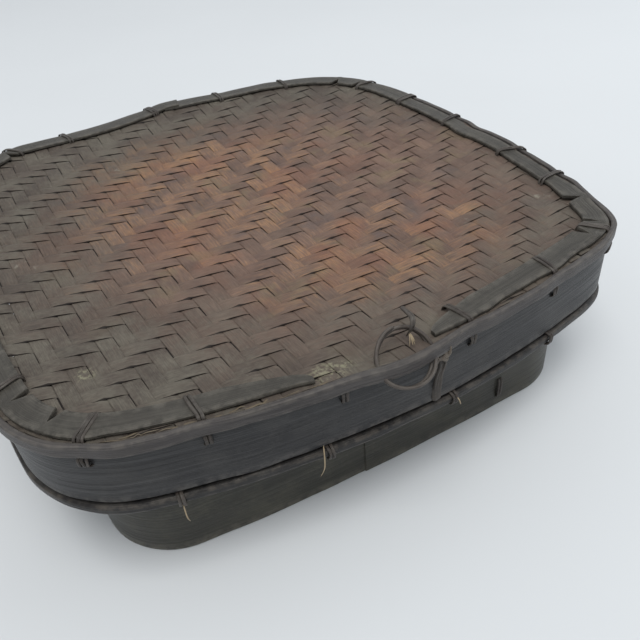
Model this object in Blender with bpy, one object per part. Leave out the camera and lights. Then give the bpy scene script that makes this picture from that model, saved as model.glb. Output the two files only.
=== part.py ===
"""A square lidded basket: bent bamboo bands, twill-woven panels and rattan stitches.

The base stands on z = 0 with its centre over the origin, and the front of the basket faces -Y. The lid is a
shallow box that drops over the base. Lengths are in metres.
"""

import math

import bmesh
import bpy
from mathutils import Matrix, Vector

CLEARANCE = 0.0003

# Lid outline: half widths, radii of the bowed sides and of the corners, measured on the rim bead's outer face
LID_HALF_X, LID_HALF_Y = 0.1720, 0.1808
LID_ARC_X, LID_ARC_Y = 0.6047, 0.4555
LID_CORNER = 0.0654

# Base outline, measured on the outer band
BASE_HALF_X, BASE_HALF_Y = 0.1448, 0.1560
BASE_ARC_X, BASE_ARC_Y = 0.768, 1.552
BASE_CORNER = 0.040

# Lid wall, from the outside inwards
BEAD_THICK, BEAD_HEIGHT = 0.0026, 0.0065
LID_BAND_THICK = 0.0030
LID_WALL_THICK = 0.0020
HOOP_THICK, HOOP_HEIGHT = 0.0043, 0.0045
INNER_HOOP_THICK, INNER_HOOP_HEIGHT = 0.0018, 0.0064

# Heights of the lid's pieces
LID_TOP_Z = 0.0949
PANEL_LOW_Z, PANEL_THICK = 0.0922, 0.0018
LID_BAND_LOW_Z = 0.0581
LID_WALL_LOW_Z = 0.0508
HOOP_LOW_Z = 0.0515
INNER_HOOP_LOW_Z = 0.0496

# Laths on top of the lid's edge
LATH_OUT, LATH_WIDE, LATH_THICK = -0.0042, 0.0124, 0.0019
LATH_TAPER = 0.020
KERF_DEEP, KERF_HALF_MOUTH = 0.0070, 0.0024

# Rattan stitches
STRAND_WIDE, STRAND_THICK = 0.0042, 0.0012
SLOT_PLAY, SLOT_OVERRUN = 0.0004, 0.0010
STITCH_SLACK = 0.0006
STITCH_LOW_Z = 0.0866
STITCH_IN = -0.0186
HOOP_STITCH_Z = LID_BAND_LOW_Z - 0.00105
HOOP_STITCH_LOW_Z = INNER_HOOP_LOW_Z - 0.0009

# Where the stitches are: x on the front and back, y on the left and right
LID_STITCHES = {
    "front": (-0.132, -0.089, 0.034, 0.091, 0.138),
    "right": (-0.095, -0.054, 0.012, 0.066, 0.116),
    "back": (0.104, 0.047, -0.013, -0.079, -0.122),
    "left": (0.112, 0.060, 0.005, -0.050, -0.110),
}
SHORT_STITCH_X = -0.029
HOOP_STITCHES = {
    "front": (-0.104, -0.039, 0.026, 0.092),
    "right": (-0.085, 0.010, 0.100),
    "back": (0.080, -0.015, -0.100),
    "left": (0.070, -0.060),
}
BASE_STITCHES = {"front": (0.077,), "right": (0.060,), "back": (-0.077,), "left": (-0.060,)}
BASE_STITCH_Z = (0.0085, 0.0205)

# Pull ring: two turns of rattan tucked behind the rim bead, which bows out to let it through
RING_CENTRE = Vector((-0.0008, -0.1788, 0.0925))
RING_RADIUS, RING_STRAND, RING_TURNS, RING_PITCH = 0.0125, 0.0008, 2, 0.0017
RING_TILT = math.radians(45)
RING_PLAY = 0.0029
BEAD_BULGE, BULGE_HALF_LENGTH = 0.0035, 0.031
STRAP_X, STRAP_WIDE, STRAP_THICK = 0.0172, 0.0034, 0.0010
STRAP_TOP_Z, STRAP_LOW_Z = 0.0830, 0.0586
KNOT_RADIUS = 0.0022

# Base
BASE_BAND_THICK, BASE_BAND_HEIGHT = 0.0030, 0.0465
BASE_WALL_THICK, BASE_WALL_LOW_Z, BASE_TOP_Z = 0.0020, 0.0015, 0.0898
RIM_THICK, RIM_HEIGHT = 0.0020, 0.0110
BOTTOM_LOW_Z, BOTTOM_THICK = 0.0026, 0.0018
FOOT_WIDE, FOOT_THICK = 0.0140, 0.0023
FOOT_X = (-0.078, 0.0, 0.078)

COLOURS = {
    "dark_bamboo": ((0.060, 0.050, 0.047), 0.52),
    "base_bamboo": ((0.095, 0.080, 0.062), 0.55),
    "woven_bamboo": ((0.115, 0.075, 0.055), 0.60),
    "bead_bamboo": ((0.100, 0.085, 0.080), 0.48),
    "rattan": ((0.070, 0.055, 0.048), 0.45),
}


class Outline:
    """A closed outline of four bowed sides and four corners, all arcs, addressed by its normal's angle."""

    def __init__(self, half_x, half_y, arc_x, arc_y, corner):
        self.half_x, self.half_y = half_x, half_y
        self.arc_x, self.arc_y, self.corner = arc_x, arc_y, corner
        self.side_x = Vector((half_x - arc_x, 0.0))
        self.side_y = Vector((0.0, half_y - arc_y))
        line = self.side_y - self.side_x
        near, far = arc_x - corner, arc_y - corner
        along = (near**2 - far**2 + line.length_squared) / (2 * line.length)
        rise = math.sqrt(near**2 - along**2)
        unit = line.normalized()
        self.bend = self.side_x + unit * along + Vector((-unit.y, unit.x)) * rise
        first, second = self.bend - self.side_x, self.bend - self.side_y
        self.corner_start = math.atan2(first.y, first.x)
        self.corner_end = math.atan2(second.y, second.x)

    def point(self, angle, out=0.0):
        """The point whose outward normal has this angle, moved outwards by out."""
        normal = Vector((math.cos(angle), math.sin(angle)))
        folded = math.atan2(abs(normal.y), abs(normal.x))
        if folded < self.corner_start:
            centre, radius = self.side_x, self.arc_x
        elif folded < self.corner_end:
            centre, radius = self.bend, self.corner
        else:
            centre, radius = self.side_y, self.arc_y
        centre = Vector((math.copysign(1, normal.x) * centre.x, math.copysign(1, normal.y) * centre.y))
        return centre + normal * (radius + out)

    def angles(self, per_side=8, per_corner=8):
        """Angles once round the outline, each arc divided evenly."""
        stops = []
        for quarter in range(4):
            turn = quarter * math.pi / 2
            low, high = self.corner_start, self.corner_end
            if quarter % 2:
                low, high = math.pi / 2 - high, math.pi / 2 - low
            stops += [turn + low * i * 2 / per_side for i in range(per_side // 2)]
            stops += [turn + low + (high - low) * i / per_corner for i in range(per_corner)]
            rest = math.pi / 2 - high
            stops += [turn + high + rest * i * 2 / per_side for i in range(per_side // 2)]
        return stops

    def angle_on(self, side, place):
        """The angle where a side passes x = place (front, back) or y = place (left, right)."""
        middle = {"right": 0.0, "back": 0.5, "left": 1.0, "front": 1.5}[side] * math.pi
        axis = 0 if side in ("front", "back") else 1
        rising = side in ("right", "front")
        low, high = middle - math.pi / 2 + 1e-6, middle + math.pi / 2 - 1e-6
        for _ in range(40):
            angle = (low + high) / 2
            if (self.point(angle)[axis] < place) == rising:
                low = angle
            else:
                high = angle
        return angle


def bulge(x):
    """How far the rim bead bows out at the front, where the ring passes behind it."""
    reach = min(abs(x - RING_CENTRE.x) / BULGE_HALF_LENGTH, 1.0)
    return BEAD_BULGE * (1 + math.cos(math.pi * reach)) / 2


def new_collection(name):
    collection = bpy.data.collections.new(name)
    bpy.context.scene.collection.children.link(collection)
    return collection


def new_material(name):
    colour, roughness = COLOURS[name]
    material = bpy.data.materials.new(name)
    material.use_nodes = True
    shader = material.node_tree.nodes["Principled BSDF"]
    shader.inputs["Base Color"].default_value = (*colour, 1)
    shader.inputs["Roughness"].default_value = roughness
    shader.inputs["Metallic"].default_value = 0.0
    return material


def mesh_of(curve_object, name):
    """The mesh of a curve object, with its caps welded on; the curve is removed."""
    evaluated = curve_object.evaluated_get(bpy.context.evaluated_depsgraph_get())
    mesh = bpy.data.meshes.new_from_object(evaluated)
    shape = bmesh.new()
    shape.from_mesh(mesh)
    bmesh.ops.remove_doubles(shape, verts=shape.verts, dist=1e-6)
    bmesh.ops.recalc_face_normals(shape, faces=shape.faces)
    shape.to_mesh(mesh)
    shape.free()
    mesh.name = name
    curve = curve_object.data
    bpy.data.objects.remove(curve_object)
    bpy.data.curves.remove(curve)
    return mesh


class Builder:
    def __init__(self):
        self.parts = new_collection("bamboo_basket")
        self.cutters = new_collection("cutters")
        self.materials = {name: new_material(name) for name in COLOURS}
        self.lid = Outline(LID_HALF_X, LID_HALF_Y, LID_ARC_X, LID_ARC_Y, LID_CORNER)
        self.base = Outline(BASE_HALF_X, BASE_HALF_Y, BASE_ARC_X, BASE_ARC_Y, BASE_CORNER)
        self.slots = bmesh.new()

    def add(self, name, mesh, material, matrix=None):
        part = bpy.data.objects.new(name, mesh)
        part.matrix_world = matrix or Matrix()
        mesh.materials.clear()
        mesh.materials.append(self.materials[material])
        self.parts.objects.link(part)
        return part

    def plate(self, name, loops, low, high, material, matrix=None):
        """A flat outline of one or more closed loops, filled and raised from low to high."""
        curve = bpy.data.curves.new(name, "CURVE")
        curve.dimensions, curve.fill_mode = "2D", "BOTH"
        curve.extrude = (high - low) / 2
        for loop in loops:
            spline = curve.splines.new("POLY")
            spline.points.add(len(loop) - 1)
            for point, (x, y) in zip(spline.points, loop):
                point.co = (x, y, 0, 1)
            spline.use_cyclic_u = True
        flat = bpy.data.objects.new(name, curve)
        self.cutters.objects.link(flat)
        mesh = mesh_of(flat, name)
        mesh.transform(Matrix.Translation((0, 0, (low + high) / 2)))
        return self.add(name, mesh, material, matrix)

    def band(self, name, outline, out, thick, low, high, material, per_side=8, swell=None):
        """A hoop that follows the outline, its outer face moved outwards by out."""
        angles = outline.angles(per_side)
        loops = []
        for face in (out, out - thick):
            loop = []
            for angle in angles:
                point = outline.point(angle)
                extra = swell(point.x) if swell and point.y < -LID_HALF_Y / 2 else 0.0
                loop.append(outline.point(angle, face + extra))
            loops.append(loop)
        return self.plate(name, loops, low, high, material)

    def section(self, outline, side, place):
        """Local x outwards, y up and z along the wall, at a place on the outline."""
        angle = outline.angle_on(side, place)
        foot = outline.point(angle)
        normal = Vector((math.cos(angle), math.sin(angle), 0))
        up = Vector((0, 0, 1))
        turn = Matrix((normal, up, normal.cross(up))).transposed().to_4x4()
        return Matrix.Translation((foot.x, foot.y, 0)) @ turn

    def stitch(self, name, corners, matrix, slots):
        """A flat strand closed round the given section, and the slots that it passes through."""
        loops = [widened(corners, STRAND_THICK / 2), widened(corners, -STRAND_THICK / 2)]
        self.plate(name, loops, -STRAND_WIDE / 2, STRAND_WIDE / 2, "rattan", matrix)
        for (left, right), (low, high) in slots:
            size = Vector((right - left, high - low, STRAND_WIDE + 2 * SLOT_PLAY))
            middle = Vector(((left + right) / 2, (low + high) / 2, 0))
            place = matrix @ Matrix.Translation(middle) @ Matrix.Diagonal((*size, 1))
            bmesh.ops.create_cube(self.slots, size=1.0, matrix=place)

    def slot_cutter(self):
        mesh = bpy.data.meshes.new("stitch_slots")
        self.slots.to_mesh(mesh)
        self.slots.free()
        return self.cutter("stitch_slots", mesh)

    def cutter(self, name, mesh):
        tool = bpy.data.objects.new(name, mesh)
        tool.hide_render, tool.display_type = True, "WIRE"
        self.cutters.objects.link(tool)
        return tool

    def cut(self, names, tool):
        for name in names:
            modifier = self.parts.objects[name].modifiers.new(tool.name, "BOOLEAN")
            modifier.operation, modifier.solver, modifier.object = "DIFFERENCE", "EXACT", tool

    def strand(self, name, points, radius, material="rattan", bevel_resolution=2):
        """A round strand through the points, closed at both ends."""
        curve = bpy.data.curves.new(name, "CURVE")
        curve.dimensions, curve.bevel_depth = "3D", radius
        curve.bevel_resolution, curve.use_fill_caps = bevel_resolution, True
        spline = curve.splines.new("POLY")
        spline.points.add(len(points) - 1)
        for point, place in zip(spline.points, points):
            point.co = (*place, 1)
        rod = bpy.data.objects.new(name, curve)
        self.cutters.objects.link(rod)
        mesh = mesh_of(rod, name)
        mesh.shade_smooth()
        return self.add(name, mesh, material)


def widened(corners, by):
    """A closed polygon, anticlockwise, with every edge moved outwards by the same distance."""
    moved = []
    count = len(corners)
    for i in range(count):
        before, here, after = (Vector(corners[(i + k) % count]) for k in (-1, 0, 1))
        first, second = (here - before).normalized(), (after - here).normalized()
        out_first, out_second = Vector((first.y, -first.x)), Vector((second.y, -second.x))
        half = (out_first + out_second).normalized()
        moved.append(here + half * (by / half.dot(out_first)))
    return moved


def make_lid_walls(build):
    bead = -BEAD_THICK - CLEARANCE
    band_inner = bead - LID_BAND_THICK
    wall_out = band_inner - CLEARANCE
    wall_top = PANEL_LOW_Z - CLEARANCE
    build.band("lid_rim_bead", build.lid, 0.0, BEAD_THICK, LID_TOP_Z - BEAD_HEIGHT, LID_TOP_Z,
               "bead_bamboo", per_side=16, swell=bulge)
    build.band("lid_outer_band", build.lid, bead, LID_BAND_THICK, LID_BAND_LOW_Z, wall_top, "dark_bamboo")
    build.band("lid_inner_wall", build.lid, wall_out, LID_WALL_THICK, LID_WALL_LOW_Z, wall_top, "dark_bamboo")
    hoop_out = wall_out + CLEARANCE + HOOP_THICK
    build.band("lid_outer_hoop", build.lid, hoop_out, HOOP_THICK, HOOP_LOW_Z, HOOP_LOW_Z + HOOP_HEIGHT,
               "bead_bamboo")
    inner_out = wall_out - LID_WALL_THICK - CLEARANCE
    build.band("lid_inner_hoop", build.lid, inner_out, INNER_HOOP_THICK, INNER_HOOP_LOW_Z,
               INNER_HOOP_LOW_Z + INNER_HOOP_HEIGHT, "bead_bamboo")


def make_lid_panel(build):
    edge = [build.lid.point(angle, -BEAD_THICK - 2 * CLEARANCE) for angle in build.lid.angles()]
    build.plate("lid_woven_panel", [edge], PANEL_LOW_Z, PANEL_LOW_Z + PANEL_THICK, "woven_bamboo")


def lath_loop(outline, start, end, kerfs, tapers):
    """The outline of a flat lath from one angle to another, with V cuts in its inner edge at the kerfs."""
    inner = LATH_OUT - LATH_WIDE
    between = [a for a in outline.angles() + [a + 2 * math.pi for a in outline.angles()] if start < a < end]
    outer_edge = [outline.point(a, LATH_OUT) for a in [start, *between, end]]
    mouth = KERF_HALF_MOUTH / (LID_CORNER + inner)
    slope_start = tapers[0] * LATH_TAPER / LID_ARC_Y
    slope_end = tapers[1] * LATH_TAPER / LID_ARC_Y
    stops = [(a, inner) for a in between if start + slope_start < a < end - slope_end]
    stops = [(a, u) for a, u in stops if all(abs(a - kerf) > 1.5 * mouth for kerf in kerfs)]
    stops += [(start + slope_start, inner), (end - slope_end, inner)]
    for kerf in kerfs:
        stops += [(kerf - mouth, inner), (kerf, inner + KERF_DEEP), (kerf + mouth, inner)]
    inner_edge = [outline.point(a, u) for a, u in sorted(stops, reverse=True)]
    return outer_edge + inner_edge


def make_top_laths(build):
    """Two laths round the lid's top edge: they leave the front open at the ring and meet at the back."""
    low = PANEL_LOW_Z + PANEL_THICK + CLEARANCE
    turn = 2 * math.pi
    meet = build.lid.angle_on("back", 0.004)
    half_gap = CLEARANCE / LID_ARC_Y
    left_start, left_end = meet + half_gap, build.lid.angle_on("front", -0.042)
    right_start, right_end = build.lid.angle_on("front", 0.017), meet - half_gap + turn
    left_kerfs = [build.lid.angle_on("left", 0.136), build.lid.angle_on("back", -0.128),
                  build.lid.angle_on("left", -0.122), build.lid.angle_on("left", -0.146)]
    right_kerfs = [build.lid.angle_on("front", 0.128), build.lid.angle_on("front", 0.144),
                   build.lid.angle_on("right", -0.126) + turn, build.lid.angle_on("right", 0.122) + turn,
                   build.lid.angle_on("right", 0.143) + turn]
    left = lath_loop(build.lid, left_start, left_end, left_kerfs, (0, 1))
    right = lath_loop(build.lid, right_start, right_end, right_kerfs, (1, 0))
    build.plate("lid_top_lath_left", [left], low, low + LATH_THICK, "dark_bamboo")
    build.plate("lid_top_lath_right", [right], low, low + LATH_THICK, "dark_bamboo")


def make_lid_stitches(build):
    half = STRAND_THICK / 2
    lath_top = PANEL_LOW_Z + PANEL_THICK + CLEARANCE + LATH_THICK
    outside, top = STITCH_SLACK + half, lath_top + CLEARANCE + half
    wall_in = -BEAD_THICK - LID_BAND_THICK - LID_WALL_THICK - 2 * CLEARANCE
    inside, under = wall_in - STITCH_SLACK - half, PANEL_LOW_Z - CLEARANCE - half
    play = half + SLOT_PLAY
    wall_slot = ((wall_in - SLOT_OVERRUN, SLOT_OVERRUN), (STITCH_LOW_Z - play, STITCH_LOW_Z + play))
    panel_high = PANEL_LOW_Z + PANEL_THICK + 0.0002
    long_slots = (wall_slot, ((STITCH_IN - play, STITCH_IN + play), (PANEL_LOW_Z - 0.0002, panel_high)))
    long_corners = [(outside, STITCH_LOW_Z), (outside, top), (STITCH_IN, top), (STITCH_IN, under),
                    (inside, under), (inside, STITCH_LOW_Z)]
    for side, places in LID_STITCHES.items():
        for number, place in enumerate(places, 1):
            matrix = build.section(build.lid, side, place)
            build.stitch(f"lid_stitch_{side}_{number}", long_corners, matrix, long_slots)
    short_slots = (wall_slot, ((inside - play, inside + play), (PANEL_LOW_Z - 0.0002, panel_high)))
    short_corners = [(outside, STITCH_LOW_Z), (outside, top), (inside, top), (inside, STITCH_LOW_Z)]
    matrix = build.section(build.lid, "front", SHORT_STITCH_X)
    build.stitch("lid_stitch_front_short", short_corners, matrix, short_slots)


def make_hoop_stitches(build):
    half = STRAND_THICK / 2
    wall_out = -BEAD_THICK - LID_BAND_THICK - 2 * CLEARANCE
    hoop_out = wall_out + CLEARANCE + HOOP_THICK
    outside = hoop_out + STITCH_SLACK + half
    inside = wall_out - LID_WALL_THICK - CLEARANCE - INNER_HOOP_THICK - STITCH_SLACK - half
    corners = [(outside, HOOP_STITCH_LOW_Z), (outside, HOOP_STITCH_Z), (inside, HOOP_STITCH_Z),
               (inside, HOOP_STITCH_LOW_Z)]
    play = half + SLOT_PLAY
    slots = (((wall_out - LID_WALL_THICK - SLOT_OVERRUN, wall_out + SLOT_OVERRUN),
              (HOOP_STITCH_Z - play, HOOP_STITCH_Z + play)),)
    for side, places in HOOP_STITCHES.items():
        for number, place in enumerate(places, 1):
            matrix = build.section(build.lid, side, place)
            build.stitch(f"hoop_stitch_{side}_{number}", corners, matrix, slots)


def ring_frame():
    """Local z along the ring's own axis, which leans back over the lid's edge."""
    return Matrix.Translation(RING_CENTRE) @ Matrix.Rotation(RING_TILT, 4, "X")


def make_ring(build):
    frame = ring_frame()
    steps = 26 * RING_TURNS
    coil = []
    for i in range(steps + 1):
        turn = 2 * math.pi * RING_TURNS * (i / steps)
        height = RING_PITCH * (turn / (2 * math.pi) - RING_TURNS / 2)
        coil.append(frame @ Vector((RING_RADIUS * math.sin(turn), RING_RADIUS * math.cos(turn), height)))
    build.strand("pull_ring", coil, RING_STRAND)
    top = RING_RADIUS + 0.0045
    lift = RING_PITCH + RING_STRAND + CLEARANCE + 0.0009
    over = [(0.0048, RING_RADIUS - 0.0045, -0.0010), (0.0052, RING_RADIUS - 0.0028, lift * 0.7),
            (0.0060, RING_RADIUS - 0.0006, lift), (0.0070, RING_RADIUS + 0.0018, lift * 0.85),
            (0.0082, top, 0.0004), (0.0088, top + 0.0024, -0.0034)]
    build.strand("ring_tie", [frame @ Vector(point) for point in over], 0.0009)
    bpy.ops.mesh.primitive_torus_add(major_radius=RING_RADIUS, minor_radius=RING_PLAY, major_segments=32,
                                     minor_segments=10)
    torus = bpy.context.object
    mesh = torus.data
    mesh.transform(frame)
    bpy.data.objects.remove(torus)
    build.cut(["lid_rim_bead", "lid_outer_band", "lid_inner_wall", "lid_woven_panel"],
              build.cutter("ring_room", mesh))


def make_strap(build):
    """A flat strand that hangs from a knot under the rim bead and ends above the lower hoop."""
    matrix = build.section(build.lid, "front", STRAP_X)
    face = -BEAD_THICK
    strip = [(face, STRAP_LOW_Z), (face, STRAP_TOP_Z), (face + STRAP_THICK, STRAP_TOP_Z),
             (face + STRAP_THICK, STRAP_LOW_Z)]
    build.plate("front_strap", [strip], -STRAP_WIDE / 2, STRAP_WIDE / 2, "rattan", matrix)
    shape = bmesh.new()
    bmesh.ops.create_uvsphere(shape, u_segments=14, v_segments=8, radius=KNOT_RADIUS)
    mesh = bpy.data.meshes.new("strap_knot")
    shape.to_mesh(mesh)
    shape.free()
    mesh.shade_smooth()
    knot_z = STRAP_TOP_Z + CLEARANCE + KNOT_RADIUS
    build.add("strap_knot", mesh, "rattan", matrix @ Matrix.Translation((face + KNOT_RADIUS, knot_z, 0)))


def make_base(build):
    band_in = -BASE_BAND_THICK
    wall_out = band_in - CLEARANCE
    wall_in = wall_out - BASE_WALL_THICK
    build.band("base_outer_band", build.base, 0.0, BASE_BAND_THICK, 0.0, BASE_BAND_HEIGHT, "base_bamboo")
    build.band("base_inner_wall", build.base, wall_out, BASE_WALL_THICK, BASE_WALL_LOW_Z, BASE_TOP_Z,
               "base_bamboo")
    build.band("base_rim_outer_lath", build.base, band_in + RIM_THICK, RIM_THICK, BASE_TOP_Z - RIM_HEIGHT,
               BASE_TOP_Z, "base_bamboo")
    build.band("base_rim_inner_lath", build.base, wall_in - CLEARANCE, RIM_THICK, BASE_TOP_Z - RIM_HEIGHT,
               BASE_TOP_Z, "base_bamboo")
    edge = [build.base.point(angle, wall_in - CLEARANCE) for angle in build.base.angles()]
    build.plate("base_woven_bottom", [edge], BOTTOM_LOW_Z, BOTTOM_LOW_Z + BOTTOM_THICK, "woven_bamboo")
    for name, x in zip(("left", "middle", "right"), FOOT_X):
        reach = -build.base.point(build.base.angle_on("front", x), wall_in - CLEARANCE).y - 0.001
        half = FOOT_WIDE / 2
        corners = [(x - half, -reach), (x + half, -reach), (x + half, reach), (x - half, reach)]
        build.plate(f"base_foot_lath_{name}", [corners], 0.0, FOOT_THICK, "base_bamboo")


def make_base_stitches(build):
    half = STRAND_THICK / 2
    wall_in = -BASE_BAND_THICK - CLEARANCE - BASE_WALL_THICK
    outside, inside = STITCH_SLACK + half, wall_in - STITCH_SLACK - half
    low, high = BASE_STITCH_Z
    corners = [(outside, low), (outside, high), (inside, high), (inside, low)]
    play = half + SLOT_PLAY
    slots = [((wall_in - SLOT_OVERRUN, SLOT_OVERRUN), (z - play, z + play)) for z in BASE_STITCH_Z]
    for side, places in BASE_STITCHES.items():
        for place in places:
            matrix = build.section(build.base, side, place)
            build.stitch(f"base_stitch_{side}", corners, matrix, slots)


def main():
    for thing in list(bpy.data.objects):
        bpy.data.objects.remove(thing)
    build = Builder()
    make_lid_walls(build)
    make_lid_panel(build)
    make_top_laths(build)
    make_base(build)
    make_lid_stitches(build)
    make_hoop_stitches(build)
    make_base_stitches(build)
    build.cut(["lid_outer_band", "lid_inner_wall", "lid_woven_panel", "base_outer_band", "base_inner_wall"],
              build.slot_cutter())
    make_strap(build)
    make_ring(build)


main()
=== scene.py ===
"""The looks of an old square bamboo basket with a lid, built round its fixed frame.

Strips are woven two over and two under, bands are bent round the outline, and split rattan is stitched
through them. Lengths are in metres, +Z is up and the front of the basket faces -Y.
"""

import math
import random

import bpy
import numpy as np
from bpy.props import FloatProperty, FloatVectorProperty, IntProperty, PointerProperty
from mathutils import Matrix, Vector


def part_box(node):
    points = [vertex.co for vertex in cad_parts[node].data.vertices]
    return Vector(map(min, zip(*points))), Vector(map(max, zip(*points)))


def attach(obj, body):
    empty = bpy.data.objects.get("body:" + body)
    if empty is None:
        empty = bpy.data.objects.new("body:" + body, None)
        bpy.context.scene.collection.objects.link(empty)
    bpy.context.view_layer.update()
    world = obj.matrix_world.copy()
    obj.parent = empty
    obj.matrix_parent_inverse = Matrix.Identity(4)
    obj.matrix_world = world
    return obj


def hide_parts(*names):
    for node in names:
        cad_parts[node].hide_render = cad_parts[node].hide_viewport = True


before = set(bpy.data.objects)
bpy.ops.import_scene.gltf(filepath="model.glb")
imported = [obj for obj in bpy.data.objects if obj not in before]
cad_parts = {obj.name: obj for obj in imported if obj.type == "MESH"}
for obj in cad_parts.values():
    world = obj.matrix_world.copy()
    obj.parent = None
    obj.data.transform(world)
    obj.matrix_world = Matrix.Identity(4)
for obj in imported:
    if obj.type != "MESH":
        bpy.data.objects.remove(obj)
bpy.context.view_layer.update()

bl_info = {
    "name": "Bamboo basket",
    "version": (1, 0, 0),
    "blender": (4, 5, 0),
    "location": "View3D > Sidebar > Basket",
    "description": "Woven panels, bent bands, stitches and pull ring of a lidded bamboo basket",
    "category": "Add Mesh",
}

MM = 0.001

# Lid and base outlines: half widths, radii of the bowed sides and of the corners
LID_SHAPE = (0.1720, 0.1808, 0.6047, 0.4555, 0.0654)
BASE_SHAPE = (0.1448, 0.1560, 0.768, 1.552, 0.040)

# Where the old lid has warped: side, place along it, how far outwards, how long
LID_WARP = (
    ("back", -0.056, -0.0068, 0.034), ("back", 0.000, 0.0046, 0.014), ("back", 0.026, 0.0018, 0.014),
    ("back", 0.094, 0.0024, 0.022), ("back", -0.116, 0.0034, 0.012), ("right", 0.090, 0.0024, 0.040),
    ("right", -0.010, -0.0020, 0.008), ("right", -0.046, 0.0010, 0.016), ("right", -0.104, 0.0012, 0.008),
    ("right", -0.142, 0.0010, 0.016), ("right", -0.128, -0.0012, 0.012), ("front", 0.140, 0.0038, 0.018),
    ("left", 0.060, -0.0012, 0.030),
)
BASE_WARP = (("front", -0.060, 0.0006, 0.040), ("right", 0.030, -0.0008, 0.045), ("back", 0.050, 0.0008, 0.050),
             ("left", -0.030, -0.0006, 0.050))

# Stitches: x on the front and back, y on the left and right
LID_STITCHES = {
    "front": (-0.132, -0.089, 0.034, 0.091, 0.138),
    "right": (-0.095, -0.054, 0.012, 0.066, 0.116),
    "back": (0.104, 0.047, -0.013, -0.079, -0.122),
    "left": (0.112, 0.060, 0.005, -0.050, -0.110),
}
SHORT_STITCH_X = -0.029
HOOP_STITCHES = {
    "front": (-0.104, -0.039, 0.026, 0.092),
    "right": (-0.085, 0.010, 0.100),
    "back": (0.080, -0.015, -0.100),
    "left": (0.070, -0.060),
}
BASE_STITCHES = {"front": 0.077, "right": 0.060, "back": -0.077, "left": -0.060}

# Patches of pale crust on the lid: middle and reach
CRUSTS = (((-0.031, -0.170, 0.093), (0.012, 0.007, 0.100)), ((-0.121, -0.116, 0.093), (0.005, 0.005, 0.100)))

# Where the lid's weave is rubbed back to warm bamboo: middle, reach and strength
WORN = (((-0.030, 0.035, 0.093), (0.150, 0.150, 0.5), 0.88), ((0.045, -0.100, 0.093), (0.110, 0.062, 0.5), 0.95),
        ((-0.040, 0.085, 0.093), (0.085, 0.062, 0.5), 1.22))

# Loose fibres under the lid: side, place, upper and lower height, drift along the side
FIBRES = (
    ("front", -0.041, 0.0590, 0.0440, -0.0040), ("front", 0.027, 0.0560, 0.0500, 0.0020),
    ("front", -0.1035, 0.0515, 0.0420, 0.0012), ("right", -0.020, 0.0560, 0.0480, 0.0030),
    ("left", 0.010, 0.0520, 0.0430, -0.0030), ("back", 0.050, 0.0560, 0.0470, 0.0025),
)

# Heights above the table
BOTTOM_MIDDLE = 0.0035
LID_MIDDLE = 0.0931
LATH_FOOT, LATH_INSET = 0.09412, 0.0042
LID_WALL_TOP, LID_HOOP_TOP = 0.0919, 0.0560
BASE_RIM_LOW, BASE_RIM_TOP = 0.0788, 0.0898

RING_CENTRE = Vector((-0.0008, -0.1788, 0.0925))
RING_FRAME = Matrix.Translation(RING_CENTRE) @ Matrix.Rotation(math.radians(45), 4, "X")
BULGE_HEIGHT, BULGE_HALF_LENGTH = 0.0035, 0.031
STRAP_X = 0.0172

# Camera: turn round the basket, height angle and roll in radians, distance from the target in metres
CAMERA_TURN = (-0.4199, 0.6659, -0.099, 0.3645)
CAMERA_TARGET = Vector((0.0040, -0.0852, 0.048))
TABLE_HALF = 40.0


# ---------------------------------------------------------------------------------------------------------------
# Sizes and colours that a user may change

def length(label, text, default):
    return FloatProperty(name=label, description=text, default=default, min=0.0, subtype="DISTANCE", unit="LENGTH",
                         precision=5)


def colour(label, text, default):
    return FloatVectorProperty(name=label, description=text, default=default, size=3, min=0.0, max=1.0,
                               subtype="COLOR")


class BasketSizes(bpy.types.PropertyGroup):
    """Sizes of the strips, laths and strands."""

    strip_thick: length("Strip thickness", "Thickness of a woven strip", 0.00058)
    strip_rise: length("Strip rise", "How far a strip rises and dips from the middle of the weave", 0.00036)
    strip_fill: FloatProperty(name="Strip fill", description="Share of the pitch that a strip covers", default=0.985,
                              min=0.5, max=1.0)
    lid_sag: length("Lid sag", "How far the middle of the lid has sunk", 0.0030)
    lath_width: length("Lath width", "Width of the laths on the lid's edge", 0.0124)
    lath_thick: length("Lath thickness", "Thickness of the laths on the lid's edge", 0.0019)
    strand_width: length("Strand width", "Width of one split rattan strand", 0.0016)
    strand_thick: length("Strand thickness", "Thickness of one split rattan strand", 0.0009)
    ring_radius: length("Ring radius", "Radius of the pull ring", 0.0130)
    ring_strand: length("Ring strand", "Radius of the ring's strand", 0.00085)
    samples: IntProperty(name="Samples", description="Points along a strip at each crossing", default=7, min=3,
                         max=12)


class BasketColours(bpy.types.PropertyGroup):
    """Colours of the bamboo, the rattan and the stage."""

    strip: colour("Strips", "Aged woven strips", (0.228, 0.146, 0.110))
    strip_dark: colour("Dark strips", "Darkest woven strips", (0.104, 0.068, 0.056))
    worn: colour("Worn strips", "Strips rubbed back to warm bamboo", (0.420, 0.228, 0.110))
    dust: colour("Dust", "Grey dust in the weave", (0.165, 0.152, 0.124))
    band: colour("Bands", "Smoked outer bands", (0.057, 0.057, 0.058))
    band_dark: colour("Dark bands", "Soot in the bands' grain", (0.018, 0.0175, 0.019))
    lath: colour("Laths", "Laths and bead on the lid's edge", (0.080, 0.073, 0.062))
    base: colour("Base", "Bands of the base", (0.054, 0.052, 0.043))
    rattan: colour("Rattan", "Split rattan strands", (0.058, 0.048, 0.042))
    straw: colour("Straw", "Fresh broken fibres", (0.420, 0.330, 0.215))
    floor: colour("Floor", "Pale table top", (0.640, 0.664, 0.684))


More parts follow.
